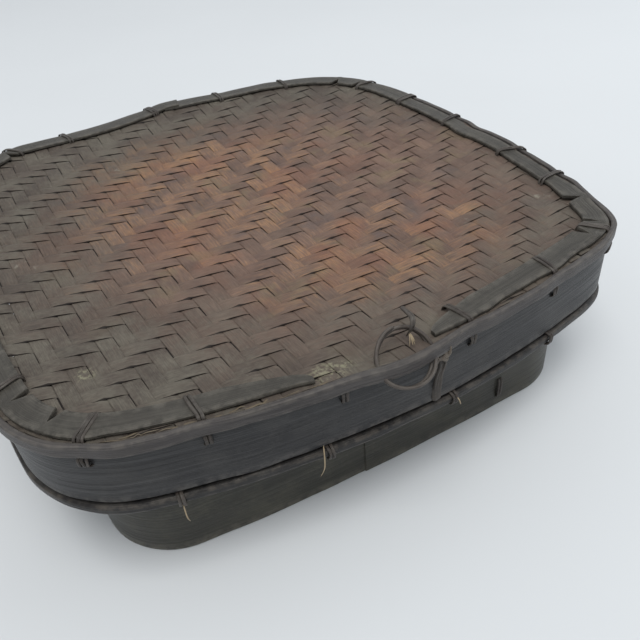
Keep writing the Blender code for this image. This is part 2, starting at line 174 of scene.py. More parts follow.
class BasketStage(bpy.types.PropertyGroup):
    """Lights and camera."""

    key_power: FloatProperty(name="Key light", description="Power of the large soft light", default=90.0, unit="POWER")
    fill_power: FloatProperty(name="Fill light", description="Power of the fill light", default=5.0, unit="POWER")
    world: FloatProperty(name="Room light", description="Strength of the even light all round", default=0.70)
    lens: FloatProperty(name="Lens", description="Focal length in millimetres", default=36.38)


# ---------------------------------------------------------------------------------------------------------------
# Outlines

def smooth(share):
    """A share between 0 and 1, eased at both ends."""
    return share * share * (3 - 2 * share)


class Outline:
    """A closed outline of four bowed sides and four corners, all arcs."""

    def __init__(self, half_x, half_y, arc_x, arc_y, corner):
        self.arc_x, self.arc_y, self.corner = arc_x, arc_y, corner
        self.side_x = Vector((half_x - arc_x, 0.0))
        self.side_y = Vector((0.0, half_y - arc_y))
        line = self.side_y - self.side_x
        near, far = arc_x - corner, arc_y - corner
        along = (near**2 - far**2 + line.length_squared) / (2 * line.length)
        rise = math.sqrt(near**2 - along**2)
        unit = line.normalized()
        self.bend = self.side_x + unit * along + Vector((-unit.y, unit.x)) * rise
        first, second = self.bend - self.side_x, self.bend - self.side_y
        self.corner_start = math.atan2(first.y, first.x)
        self.corner_end = math.atan2(second.y, second.x)

    def point(self, angle):
        """The point whose outward normal has this angle."""
        normal = Vector((math.cos(angle), math.sin(angle)))
        folded = math.atan2(abs(normal.y), abs(normal.x))
        if folded < self.corner_start:
            centre, radius = self.side_x, self.arc_x
        elif folded < self.corner_end:
            centre, radius = self.bend, self.corner
        else:
            centre, radius = self.side_y, self.arc_y
        centre = Vector((math.copysign(1, normal.x) * centre.x, math.copysign(1, normal.y) * centre.y))
        return centre + normal * radius


class Edge:
    """An outline by its length: where a place along it is, and which way is outwards there."""

    def __init__(self, shape, warp, count=4096):
        outline = Outline(*shape)
        angles = np.linspace(0, 2 * math.pi, 12 * count, endpoint=False) + 1e-7
        points = np.array([outline.point(a) for a in angles])
        points = self.even(points, count)
        self.xy = points
        self.measure()
        push = np.zeros(count)
        for side, place, out, wide in warp:
            middle = self.place(side, place)
            away = self.away(self.s, middle)
            push += out * np.exp(-((away / wide) ** 2))
        self.xy = self.even(points + self.normal * push[:, None], count)
        self.measure()
        self.sight()

    def sight(self, extra=0.0):
        """Notes how far the outline is in each direction."""
        xy = self.xy + self.normal * np.reshape(extra, (-1, 1))
        around = np.arctan2(xy[:, 1], xy[:, 0])
        order = np.argsort(around)
        self.bearing, self.reach = around[order], np.hypot(*xy[order].T)

    @staticmethod
    def even(points, count):
        """The closed line through the points, in even steps."""
        ring = np.vstack([points, points[:1]])
        run = np.concatenate([[0], np.cumsum(np.hypot(*np.diff(ring, axis=0).T))])
        stops = np.linspace(0, run[-1], count, endpoint=False)
        return np.stack([np.interp(stops, run, ring[:, k]) for k in (0, 1)], axis=1)

    def measure(self):
        step = np.roll(self.xy, -1, 0) - self.xy
        run = np.hypot(*step.T)
        self.total = float(run.sum())
        self.s = np.concatenate([[0], np.cumsum(run)[:-1]])
        tangent = np.roll(self.xy, -3, 0) - np.roll(self.xy, 3, 0)
        tangent /= np.hypot(*tangent.T)[:, None]
        self.normal = np.stack([tangent[:, 1], -tangent[:, 0]], axis=1)

    def place(self, side, where):
        """The length along the outline where a side passes x = where (front, back) or y = where (left, right)."""
        axis, facing = {"right": (0, 1), "back": (1, 1), "left": (0, -1), "front": (1, -1)}[side]
        miss = np.abs(self.xy[:, 1 - axis] - where) + 10.0 * (self.xy[:, axis] * facing < 0.06)
        return float(self.s[int(np.argmin(miss))])

    def away(self, s, place):
        """How far s is from a place along the outline, the shorter way round."""
        return (s - place + self.total / 2) % self.total - self.total / 2

    def at(self, s):
        """Points and outward normals at the lengths s."""
        s = np.asarray(s, float) % self.total
        knots = np.append(self.s, self.total)
        xy, out = (np.stack([np.interp(s, knots, np.append(v[:, k], v[0, k])) for k in (0, 1)], axis=-1)
                   for v in (self.xy, self.normal))
        return xy, out / np.linalg.norm(out, axis=-1, keepdims=True)

    def rings(self, s, u, z):
        """Sections set on the outline: u outwards and z up, one row for each length s."""
        xy, out = self.at(s)
        flat = xy[:, None, :] + out[:, None, :] * u[..., None]
        return np.concatenate([flat, z[..., None]], axis=-1)

    def frame(self, s):
        """The foot on the table, the way outwards and the way along at one length, in space."""
        xy, out = self.at(s)
        return np.array([*xy, 0.0]), np.array([*out, 0.0]), np.array([-out[1], out[0], 0.0])

    def near(self, s, places, reach):
        """1 at the places and 0 further off than reach, smoothly."""
        s = np.asarray(s, float)
        best = np.zeros(s.shape)
        for place in places:
            away = np.abs(self.away(s, place))
            best = np.maximum(best, 0.5 + 0.5 * np.cos(math.pi * np.minimum(away / reach, 1)))
        return best

    def within(self, s, start, end, fade):
        """1 between two lengths and 0 outside them, with soft ends."""
        run = (end - start) % self.total
        away = (np.asarray(s, float) - start) % self.total
        inside = np.minimum(away, run - away)
        outside = away > run
        return np.where(outside, 0.0, smooth(np.clip(inside / fade, 0, 1)))

    def reach_at(self, xy):
        """Distance from the middle to the outline, in the direction of each point."""
        around = np.arctan2(xy[..., 1], xy[..., 0])
        return np.interp(around, self.bearing, self.reach, period=2 * math.pi)


def ripple(s, total, seed, low=3, high=14):
    """A smooth wave between about -1 and 1 that closes on itself after the length total."""
    chance = random.Random(seed)
    value = np.zeros(np.shape(s))
    size = 0.0
    for k in range(low, high):
        part = chance.uniform(0.4, 1.0) / math.sqrt(k)
        value = value + part * np.sin(2 * math.pi * k * np.asarray(s) / total + chance.uniform(0, 2 * math.pi))
        size += part * part
    return value / (1.6 * math.sqrt(size))


def ring_bulge(edge, s):
    """How far the lid's rim bows out over the ring."""
    xy, _ = edge.at(s)
    reach = np.clip(np.abs(xy[:, 0] - RING_CENTRE.x) / BULGE_HALF_LENGTH, 0, 1)
    return np.where(xy[:, 1] < -0.09, BULGE_HEIGHT * (1 + np.cos(math.pi * reach)) / 2, 0)


LID = Edge(LID_SHAPE, LID_WARP)
LID.sight(ring_bulge(LID, LID.s))
BASE = Edge(BASE_SHAPE, BASE_WARP)
EDGES = {"lid": LID, "base": BASE}


# ---------------------------------------------------------------------------------------------------------------
# Meshes

class Skin:
    """A mesh made of closed sections joined along their length. Each keeps its length and girth as a UV map, and
    the marks that its material reads: tone of the strip, rub on the edges and depth in the weave, which the material
    paints as shade."""

    def __init__(self):
        self.points, self.faces, self.uvs, self.marks = [], [], [], []
        self.count = 0

    def tube(self, rings, marks, closed=False, along=None, shift=0.0):
        n, m, _ = rings.shape
        if along is None:
            middle = rings.mean(axis=1)
            path = np.vstack([middle, middle[:1]]) if closed else middle
            along = np.concatenate([[0], np.cumsum(np.linalg.norm(np.diff(path, axis=0), axis=1))])
        middle_ring = rings[n // 2]
        girth = np.linalg.norm(np.roll(middle_ring, -1, 0) - middle_ring, axis=1)
        around = np.concatenate([[0], np.cumsum(girth)])
        along = np.asarray(along) + shift
        last = n if closed else n - 1
        i, j = np.meshgrid(np.arange(last), np.arange(m), indexing="ij")
        i2, j2 = (i + 1) % n, (j + 1) % m
        quads = np.stack([i * m + j, i * m + j2, i2 * m + j2, i2 * m + j], axis=-1).reshape(-1, 4)
        uv = np.stack([np.stack([along[i], around[j]], -1), np.stack([along[i], around[j + 1]], -1),
                       np.stack([along[i + 1], around[j + 1]], -1), np.stack([along[i + 1], around[j]], -1)], axis=2)
        uv = uv.reshape(-1, 4, 2)
        flat = rings.reshape(-1, 3)
        a, b, c, d = (flat[quads[:, k]] - flat.mean(0) for k in range(4))
        volume = np.einsum("ij,ij->", a, np.cross(b, c)) + np.einsum("ij,ij->", a, np.cross(c, d))
        if volume < 0:
            quads, uv = quads[:, ::-1], uv[:, ::-1]
        self.faces += (quads + self.count).tolist()
        self.uvs.append(uv.reshape(-1, 2))
        if not closed:
            for ring, turn in ((0, -1), (n - 1, 1)):
                cap = np.arange(m) + ring * m
                if turn * volume < 0:
                    cap = cap[::-1]
                self.faces.append((cap + self.count).tolist())
                self.uvs.append(np.stack([np.full(m, along[0 if ring == 0 else -1]), around[:-1]], -1))
        self.points.append(flat)
        self.marks.append(np.broadcast_to(marks, (n, m, 3)).reshape(-1, 3))
        self.count += n * m

    def make(self, name, body, material, nodes=(), sharp=40):
        mesh = bpy.data.meshes.new(name)
        mesh.from_pydata(np.vstack(self.points).tolist(), [], self.faces)
        mesh.uv_layers.new(name="fibre").data.foreach_set("uv", np.vstack(self.uvs).astype(np.float32).ravel())
        layer = mesh.attributes.new("marks", "FLOAT_COLOR", "POINT")
        marks = np.vstack(self.marks)
        layer.data.foreach_set("color", np.hstack([marks, np.ones((len(marks), 1))]).astype(np.float32).ravel())
        mesh.shade_smooth()
        mesh.set_sharp_from_angle(angle=math.radians(sharp))
        mesh.materials.append(bpy.data.materials[material])
        mesh.validate()
        return put(name, mesh, body, nodes)


def put(name, mesh, body, nodes=()):
    """Adds a piece, which rides on a body and may stand for CAD nodes."""
    piece = bpy.data.objects.new(name, mesh)
    bpy.context.scene.collection.objects.link(piece)
    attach(piece, body)
    if nodes:
        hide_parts(*nodes)
    return piece


def slab(out, thick, low, high, soft=0.0005, faces=(3, 1, 2, 1)):
    """A rectangle with soft corners, as u, z and the rub on its edges, from its outer lower corner upwards."""
    corners = ((out, low, -1, 1), (out, high, -1, -1), (out - thick, high, 1, -1), (out - thick, low, 1, 1))
    u, z, rub = [], [], []
    for k, (cu, cz, du, dz) in enumerate(corners):
        centre = (cu + du * soft, cz + dz * soft)
        for step in (0, 45, 90):
            angle = math.radians(90 * (k - 1) + step)
            u.append(centre[0] + soft * math.cos(angle))
            z.append(centre[1] + soft * math.sin(angle))
            rub.append(1.0)
        after = corners[(k + 1) % 4]
        begin = (u[-1], z[-1])
        along = (after[0] - cu, after[1] - cz)
        size = math.hypot(*along)
        for step in range(faces[k]):
            part = (size - 2 * soft) * (step + 1) / (faces[k] + 1)
            u.append(begin[0] + along[0] / size * part)
            z.append(begin[1] + along[1] / size * part)
            rub.append(0.0)
    return np.array(u), np.array(z), np.array(rub)


def spans(p0, p1, p2, p3, parts):
    """Smooth spans from the points p1 to the points p2, each in even parts."""
    t = np.linspace(0, 1, parts, endpoint=False)[None, :, None]
    p0, p1, p2, p3 = (p[:, None, :] for p in (p0, p1, p2, p3))
    curve = 0.5 * (2 * p1 + (p2 - p0) * t + (2 * p0 - 5 * p1 + 4 * p2 - p3) * t**2
                   + (3 * p1 - p0 - 3 * p2 + p3) * t**3)
    return curve.reshape(-1, curve.shape[-1])


def smooth_loop(points, parts):
    """A closed curve through the points."""
    points = np.array(points, float)
    return spans(*(np.roll(points, -k, 0) for k in (-1, 0, 1, 2)), parts)


def smooth_line(points, parts):
    """An open curve through the points."""
    points = np.array(points, float)
    ends = np.vstack([2 * points[0] - points[1], points, 2 * points[-1] - points[-2]])
    return np.vstack([spans(*(ends[k:len(ends) - 3 + k] for k in range(4)), parts), points[-1:]])


def cord_rings(path, side, wide, thick, sides=8, closed=False, ends=None):
    """Oval sections along a path: wide in the direction of side, thick across it."""
    path = np.asarray(path, float)
    if closed:
        tangent = np.roll(path, -1, 0) - np.roll(path, 1, 0)
    else:
        tangent = np.gradient(path, axis=0)
    tangent /= np.linalg.norm(tangent, axis=1)[:, None]
    side = np.broadcast_to(np.asarray(side, float), path.shape)
    side = side - tangent * np.einsum("ij,ij->i", side, tangent)[:, None]
    side /= np.linalg.norm(side, axis=1)[:, None]
    up = np.cross(tangent, side)
    turn = np.linspace(0, 2 * math.pi, sides, endpoint=False)
    scale = np.ones(len(path)) if ends is None else ends
    wide, thick = np.broadcast_to(wide, len(path)) * scale, np.broadcast_to(thick, len(path)) * scale
    return (path[:, None, :] + side[:, None, :] * (np.cos(turn)[None, :, None] * wide[:, None, None] / 2)
            + up[:, None, :] * (np.sin(turn)[None, :, None] * thick[:, None, None] / 2))


def tapered(count, start, end):
    """Sizes along a path that shrink towards its ends."""
    t = np.linspace(0, 1, count)
    left = np.clip(t / max(start, 1e-6), 0, 1)
    right = np.clip((1 - t) / max(end, 1e-6), 0, 1)
    return 0.18 + 0.82 * np.sqrt(np.minimum(left if start else 1.0, right if end else 1.0))


# ---------------------------------------------------------------------------------------------------------------
# Weave

def lid_lattice(column, row):
    """Where a column and a row of the lid cross, in metres. The rows sit closer together at the front, and the old
    panel has been pulled so that they sag towards the front in the middle."""
    stops = np.linspace(-200, 200, 801)
    pitch = np.where(stops < -40, 8.6 + 0.006 * (stops + 40), 8.7)
    pitch = np.where(stops > 10, 8.8 + 0.00026 * (stops - 10) ** 2, pitch)
    count = np.concatenate([[0], np.cumsum(0.5 / pitch[:-1])])
    count += -0.5 - np.interp(-33.0, stops, count)
    straight = np.interp(row, count, stops)
    back = straight + 33.0
    x = 1.0 + (column - 0.5) * 8.72 * (1 + 0.00035 * back) - 0.05 * back + 0.00018 * back**2
    bow = np.where(x < 15, 0.0014, 0.0010) * (x - 15) ** 2 * np.clip(0.85 + 0.0025 * back, 0.5, 1.15)
    return x * MM, (straight + bow) * MM


def base_lattice(column, row):
    """Where a column and a row of the base's bottom cross, in metres."""
    x = 8.9 * column + 0.010 * row * column
    y = 8.9 * row + 0.0006 * x**2
    return x * MM, y * MM


def over(row, column):
    """Whether the row passes over the column: two over and two under, one further along on each row."""
    return np.mod(row - column, 4) < 2


# A strip's section, from its upper front edge round to its lower one: place across, rub and height
STRIP_ACROSS = np.array([-0.93, -0.45, 0.45, 0.93, 1.0, 1.0, -1.0, -1.0])
STRIP_RUB = np.array([0.85, 0.0, 0.0, 0.5, 0.6, 0.2, 0.2, 1.0])
ROW_LIFT = np.array([0.92, 1.0, 1.0, 0.80, 0.20, -1.0, -1.0, 0.45])
COLUMN_LIFT = np.array([0.62, 1.0, 1.0, 0.85, 0.30, -1.0, -1.0, -0.30])
FRONT_EDGE = [0, 7]
STRIP_REACH = 26


def weave(skin, lattice, along_rows, numbers, edge, inset, height, sizes, seed, samples, ragged=0.0):
    """Adds every strip of one direction. Height gives the middle of the weave at each point."""
    chance = random.Random(seed)
    half_thick, rise = sizes.strip_thick / 2, sizes.strip_rise
    lift = ROW_LIFT if along_rows else COLUMN_LIFT
    for number in numbers:
        fill = sizes.strip_fill / 2 * chance.uniform(0.955, 1.02) * (1.0 if along_rows else 0.978)
        off = chance.uniform(-0.018, 0.018)
        strip_tone = chance.uniform(0, 1)
        wander = [(chance.uniform(0.006, 0.016), chance.uniform(0.25, 0.8), chance.uniform(0, 6.3)) for _ in range(2)]
        run = np.arange(-STRIP_REACH, STRIP_REACH, 1 / samples)
        sway = sum(a * np.sin(b * run + p) for a, b, p in wander)

        # Each float over or under two strips has a lean, a tone and a gap at its front edge
        steps = np.arange(-STRIP_REACH, STRIP_REACH + 1)
        is_over = over(number, steps) if along_rows else ~over(steps, number)
        level = np.where(is_over, 1.0, -1.0)
        lean = np.array([chance.uniform(-0.22, 0.22) for _ in steps])
        float_tone = np.array([chance.uniform(0, 1) for _ in steps])
        group = np.arange(len(steps)) - (is_over == np.roll(is_over, 1))
        lean, float_tone = lean[group], float_tone[group]
        open_size = np.array([0.012 + 0.115 * chance.random() ** 1.4 for _ in steps])

        # The strip dips and rises between one crossing and the next
        position = run - steps[0]
        before = np.floor(position).astype(int).clip(0, len(steps) - 2)
        part = position - before
        down = np.clip((part - 0.14) / 0.56, 0, 1)
        rising = np.clip((0.86 - part) / 0.56, 0, 1)
        t = np.where(level[before] > level[before + 1], smooth(down), 1 - smooth(rising))
        z_level = level[before] * (1 - t) + level[before + 1] * t
        crown = np.where(level[before] + level[before + 1] > 1.5, 0.30 * np.sin(math.pi * np.clip(part, 0, 1)), 0)
        tilt = lean[before] * (1 - t) + lean[before + 1] * t
        tone = np.where(part < 0.5, float_tone[before], float_tone[before + 1])
        cross = number + off + sway[:, None] + STRIP_ACROSS[None, :] * fill

        # The front edge draws back and curls up along each float, counted from where it comes up
        since = np.where(level[before] > 0, np.where(level[before - 1] > 0, 1.0, 0.0), -1.0) + part
        since = np.where((level[before] < 0) & (level[before + 1] > 0), part - 1.0, since)
        opening = np.clip((since + 0.42) / 0.86, 0, 1) ** 1.6 * np.clip((0.66 - since) / 0.20, 0, 1)
        opening = opening * open_size[group][before] * (1.0 if along_rows else 0.0)
        cross[:, FRONT_EDGE] += opening[:, None]
        curl = np.clip((since - 0.15) / 0.35, 0, 1) * np.clip((1.50 - since) / 0.16, 0, 1)
        if along_rows:
            x, y = lattice(np.broadcast_to(run[:, None], cross.shape), cross)
        else:
            x, y = lattice(cross, np.broadcast_to(run[:, None], cross.shape))

        # Its ends stop at the outline, and strips beside the outline are pulled in to it
        xy = np.stack([x, y], axis=-1)
        away = np.hypot(x, y)
        limit = edge.reach_at(xy) - inset - ragged * chance.random()
        inside = (away < limit).any(1)
        if inside.sum() < 2 * samples:
            continue
        keep = np.arange(inside.argmax(), len(run) - inside[::-1].argmax())
        xy *= np.minimum(1, limit / away)[..., None]
        x, y = xy[..., 0], xy[..., 1]
        z = height(x, y) + (z_level[:, None] + crown[:, None]) * rise
        z = z + tilt[:, None] * STRIP_ACROSS[None, :] * rise * np.clip(z_level, 0, 1)[:, None]
        z = z + lift[None, :] * half_thick
        z[:, FRONT_EDGE] += (curl * (0.00020 if along_rows else 0.0))[:, None]
        rings = np.concatenate([xy, z[..., None]], axis=-1)[keep]
        marks = np.zeros(rings.shape)
        marks[:, :, 0] = (0.45 * strip_tone + 0.55 * tone)[keep][:, None]
        marks[:, :, 1] = STRIP_RUB
        # Channel 2 is painted shade: high where the strip dives under its crossing strips, full on its underside and,
        # for the rows, on the front edge face
        marks[:, :, 2] = np.clip(0.5 - 0.5 * z_level, 0, 1)[keep][:, None]
        marks[:, 5:7, 2] = 1.0
        if along_rows:
            marks[:, 7, 2] = 0.95
        skin.tube(rings, marks, shift=chance.uniform(0, 3))


def lid_height(sag):
    """The middle of the lid's weave, which has sunk a little between its edges."""
    def height(x, y):
        dish = np.clip(1 - (x / 0.166) ** 2, 0, 1) * np.clip(1 - (y / 0.174) ** 2, 0, 1)
        return LID_MIDDLE - sag * dish
    return height


def bottom_height(x, y):
    """The middle of the base's weave, which lies flat."""
    return BOTTOM_MIDDLE + 0 * x


def woven_panel(body, node, lattice, rows, columns, inset, height, sizes, seed, samples, ragged=0.0):
    """Weaves a panel: its rows stand for the CAD node, and its columns go with them."""
    for along_rows, numbers, name, nodes in ((True, rows, "rows", [node]), (False, columns, "columns", ())):
        skin = Skin()
        weave(skin, lattice, along_rows, numbers, EDGES[body], inset, height, sizes, seed, samples, ragged)
        skin.make(f"{body}_weave_{name}", body, f"{body}_strips", nodes)
        seed += 1


def props():
    scene = bpy.context.scene
    return scene.basket_sizes, scene.basket_colours, scene.basket_stage


class BASKET_OT_lid_weave(bpy.types.Operator):
    """Weave the lid's panel from separate strips"""

    bl_idname = "basket.lid_weave"
    bl_label = "Lid weave"

    def execute(self, context):
        sizes, _, _ = props()
        woven_panel("lid", "lid_woven_panel", lid_lattice, range(-22, 24), range(-22, 23), 0.0029,
                    lid_height(sizes.lid_sag), sizes, 11, sizes.samples, 0.0006)
        return {"FINISHED"}


# ---------------------------------------------------------------------------------------------------------------
# Laths, bead, bands and hoops

def stations(start, end, step, extra=()):
    """Lengths from start to end in even steps, with the extra ones among them."""
    count = max(2, int(round((end - start) / step)))
    stops = list(np.linspace(start, end, count + 1))
    stops += [e for e in extra if start < e < end]
    stops = np.array(sorted(stops))
    return stops[np.concatenate([[True], np.diff(stops) > 1e-5])]


KERF_STOPS = (-3.2, -2.2, -1.2, -0.5, 0, 0.5, 1.2, 2.2, 3.2)
KERF_REACH, KERF_DEPTH = 3.1, 0.0082


def lath(side, start, end, kerfs, tapers, gaps, sizes, seed, lap=0.0):
    """A flat lath on the lid's edge, notched on its inner side where it bends round a corner."""
    wide, thick = sizes.lath_width, sizes.lath_thick
    if end < start:
        end += LID.total
    cuts = []
    for kerf in kerfs:
        kerf = start + (kerf - start) % LID.total
        cuts += [kerf + d * MM for d in KERF_STOPS]
    s = stations(start, end, 0.0024, cuts)
    inner = -LATH_INSET - wide * (1 + 0.06 * ripple(s, LID.total, seed)) - 0.0004
    outer = np.full(len(s), -LATH_INSET) - 0.0003 * np.abs(ripple(s, LID.total, seed + 3, 5, 22))
    for first, last, deep in gaps:
        outer -= deep * LID.within(s, first, last, 0.012)
    width = outer - inner
    for where, taper in ((s - start, tapers[0]), (end - s, tapers[1])):
        if taper:
            width *= 0.25 + 0.75 * np.clip(where / taper, 0, 1) ** 0.6
    inner = outer - width
    lift = np.zeros(len(s))
    for kerf in kerfs:
        away = LID.away(s, kerf)
        inner = np.maximum(inner, outer - width + KERF_DEPTH * np.clip(1 - np.abs(away) / (KERF_REACH * MM), 0, 1))
        lift += 0.0006 * np.exp(-((away / 0.005) ** 2))
    share = np.array([0.0, 0.0, 0.04, 0.30, 0.62, 0.96, 1.0, 1.0, 0.96, 0.62, 0.30, 0.04])
    level = np.array([0.12, 0.75, 1.0, 1.06, 1.05, 1.0, 0.75, 0.12, 0.0, 0.0, 0.0, 0.0])
    rub = np.array([0.5, 1, 1, 0, 0, 1, 1, 0.5, 0, 0, 0, 0])
    u = outer[:, None] + (inner - outer)[:, None] * share[None, :]
    warp = 0.00025 * ripple(s, LID.total, seed + 5, 8, 40)
    tip = 0.0007 * ripple(s, LID.total, seed + 6, 4, 16)
    z = (LATH_FOOT + level[None, :] * thick + (lift + warp)[:, None]
         + (tip[:, None] * (share - 0.3)[None, :]).clip(0, 1))
    z = z + lap * (1 - np.clip((s - start) / 0.030, 0, 1))[:, None]
    marks = np.zeros((len(s), 12, 3))
    marks[:, :, 0] = (0.5 + 0.4 * ripple(s, LID.total, seed + 7, 4, 20))[:, None]
    marks[:, :, 1] = rub
    # Painted shade on the lath's underside
    marks[:, 8:, 2] = 1.0
    skin = Skin()
    skin.tube(LID.rings(s, u, z), marks, along=s)
    skin.make(f"lid_lath_{side}", "lid", "lid_lath", [f"lid_top_lath_{side}"])


class BASKET_OT_lid_laths(bpy.types.Operator):
    """Lay the two notched laths on the lid's edge"""

    bl_idname = "basket.lid_laths"
    bl_label = "Lid laths"

    def execute(self, context):
        sizes, _, _ = props()
        at = LID.place
        left_kerfs = [at("left", 0.136), at("back", -0.128), at("left", -0.122), at("left", -0.146)]
        right_kerfs = [at("front", 0.128), at("front", 0.144), at("right", -0.126), at("right", 0.122),
                       at("right", 0.143)]
        lath("left", at("back", 0.0145), at("front", -0.041), left_kerfs, (0, 0.036),
             [(at("front", -0.132), at("front", -0.038), 0.0018)], sizes, 21, lap=0.0017)
        lath("right", at("front", 0.016), at("back", -0.002), right_kerfs, (0.030, 0),
             [(at("front", 0.046), at("front", 0.092), 0.0014), (at("front", 0.096), at("front", 0.124), 0.0012),
              (at("right", -0.116), at("right", 0.070), 0.0022)], sizes, 22)
        return {"FINISHED"}


def hoop(name, node, body, material, section, seed, step, ragged, wave=0.0, swell=None, splice=None):
    """A bent band all round an outline, with small waves in it and an uneven lower edge. The splice is where its
    outer end lies, how long its taper is and how far it stands out."""
    edge = EDGES[body]
    u0, z0, rub = section
    count = int(edge.total / step)
    s = np.linspace(0, edge.total, count, endpoint=False)
    if splice:
        start, reach, proud = splice
        s = np.array(sorted(list(s) + [start - 0.0004, start, (start + reach) % edge.total]))
    u = np.broadcast_to(u0, (len(s), len(u0))).copy()
    z = np.broadcast_to(z0, (len(s), len(z0))).copy()
    outer = (u0 > (u0.max() + u0.min()) / 2)
    if swell is not None:
        u += swell(s)[:, None] * np.where(outer, 1.0, 0.7)
    u[:, outer] += (wave * ripple(s, edge.total, seed, 6, 30))[:, None]
    lower = z0 < (z0.min() + z0.max()) / 2
    z[:, lower] += (ragged * ripple(s, edge.total, seed + 1, 9, 60))[:, None]
    z[:, ~lower] += (0.4 * ragged * ripple(s, edge.total, seed + 2, 9, 60))[:, None]
    if splice:
        away = (s - start) % edge.total
        u[:, outer] += (proud * np.where(away < reach, 1 - (away / reach) ** 2, 0))[:, None]
    marks = np.zeros((len(s), len(u0), 3))
    marks[:, :, 0] = (0.5 + 0.45 * ripple(s, edge.total, seed + 3, 3, 25))[:, None]
    marks[:, :, 1] = rub
    skin = Skin()
    skin.tube(edge.rings(s, u, z), marks, closed=True, along=np.append(s, edge.total))
    skin.make(name, body, material, [node])


def bead_swell(s):
    """The rim bead bows out over the ring and is drawn in at each stitch."""
    places = [LID.place(side, p) for side, ps in LID_STITCHES.items() for p in ps]
    return ring_bulge(LID, s) + 0.0005 - 0.0010 * LID.near(s, places, 0.014)


class BASKET_OT_lid_walls(bpy.types.Operator):
    """Bend the lid's rim bead, bands and hoops"""

    bl_idname = "basket.lid_walls"
    bl_label = "Lid walls"

    def execute(self, context):
        back = LID.place("back", 0.060)
        hoop("lid_bead", "lid_rim_bead", "lid", "lid_bead",
             slab(0.0, 0.0031, 0.0884, 0.0949, 0.0009), 31, 0.0025, 0.0003, 0.0002, swell=bead_swell)
        hoop("lid_band", "lid_outer_band", "lid", "lid_band",
             slab(-0.0029, 0.0030, 0.0581, LID_WALL_TOP, 0.0006, (7, 1, 3, 1)), 32, 0.003, 0.0005, 0.00035,
             splice=(back, 0.055, 0.0010))
        hoop("lid_liner", "lid_inner_wall", "lid", "lid_band",
             slab(-0.0062, 0.0020, 0.0508, LID_WALL_TOP, 0.0004, (5, 1, 5, 1)), 33, 0.004, 0.0003)
        hoop("lid_hoop", "lid_outer_hoop", "lid", "lid_hoop",
             slab(-0.0016, 0.0043, 0.0515, LID_HOOP_TOP, 0.0012), 34, 0.0025, 0.0004, 0.0003)
        hoop("lid_hoop_inner", "lid_inner_hoop", "lid", "lid_hoop",
             slab(-0.0085, 0.0018, 0.0496, LID_HOOP_TOP, 0.0005), 35, 0.003, 0.0003)
        return {"FINISHED"}


# ---------------------------------------------------------------------------------------------------------------
# Stitches

def stitch(node, side, place, loop, sizes, seed, strands=2, slant=0.0):
    """Split rattan strands side by side round a loop. The loop gives u outwards and z up."""
    body = "base" if node.startswith("base") else "lid"
    edge = EDGES[body]
    where = edge.place(side, place)
    chance = random.Random(seed)
    skin = Skin()
    for strand in range(strands):
        beside = (strand - (strands - 1) / 2) * sizes.strand_width * 1.12
        points = []
        for u, z in loop:
            lean = slant * (0.5 - min(max(-u, 0), 0.018) / 0.018)
            points.append((u + chance.uniform(-0.1, 0.1) * MM, z + chance.uniform(-0.06, 0.12) * MM,
                           beside + lean + chance.uniform(-0.25, 0.25) * MM))
        curve = smooth_loop(points, 5)
        s = where + curve[:, 2]
        xy, out = edge.at(s)
        path = np.column_stack([xy + out * curve[:, :1], curve[:, 1]])
        along = np.column_stack([-out[:, 1], out[:, 0], np.zeros(len(s))])
        wide = sizes.strand_width * chance.uniform(0.88, 1.08)
        rings = cord_rings(path, along, wide, sizes.strand_thick, 8, closed=True)
        marks = np.zeros((len(path), 8, 3))
        marks[:, :, 0] = chance.random()
        marks[:, :, 1] = np.array([0.4, 0.2, 0.1, 0.2, 0.4, 0.2, 0.1, 0.2])
        skin.tube(rings, marks, closed=True, shift=chance.uniform(0, 2))
    skin.make("rattan_" + node, body, "rattan_strand", [node], sharp=80)


FRONT_LOOP = ((-0.0015, 0.0828), (-0.0011, 0.0848), (-0.0012, 0.0868), (-0.0028, 0.0892), (-0.0032, 0.0930),
              (-0.0036, 0.0954), (-0.0056, 0.0963), (-0.0100, 0.0966), (-0.0156, 0.0965), (-0.0175, 0.0954),
              (-0.0182, 0.0930), (-0.0172, 0.0912), (-0.0098, 0.0909), (-0.0092, 0.0870), (-0.0070, 0.0826),
              (-0.0034, 0.0818))
LONG_LOOP = ((0.0002, 0.0868), (0.0006, 0.0905), (0.0005, 0.0942), (-0.0008, 0.0956), (-0.0040, 0.0965),
             (-0.0100, 0.0968), (-0.0156, 0.0966), (-0.0175, 0.0954), (-0.0182, 0.0930), (-0.0172, 0.0912),
             (-0.0098, 0.0909), (-0.0092, 0.0880), (-0.0070, 0.0865), (-0.0020, 0.0863))
SHORT_LOOP = ((-0.0010, 0.0822), (-0.0007, 0.0850), (-0.0008, 0.0879), (-0.0036, 0.0892), (-0.0066, 0.0894),
              (-0.0088, 0.0885), (-0.0092, 0.0850), (-0.0086, 0.0818), (-0.0060, 0.0811), (-0.0034, 0.0812))
HOOP_LOOP = ((-0.0007, 0.0532), (-0.0008, 0.0556), (-0.0026, 0.0570), (-0.0085, 0.0572), (-0.0113, 0.0562),
             (-0.0116, 0.0525), (-0.0108, 0.0492), (-0.0074, 0.0487), (-0.0034, 0.0498), (-0.0012, 0.0511))
BASE_LOOP = ((0.0009, 0.0090), (0.0011, 0.0145), (0.0009, 0.0200), (-0.0010, 0.0208), (-0.0052, 0.0208),
             (-0.0066, 0.0198), (-0.0067, 0.0145), (-0.0066, 0.0092), (-0.0052, 0.0082), (-0.0010, 0.0082))


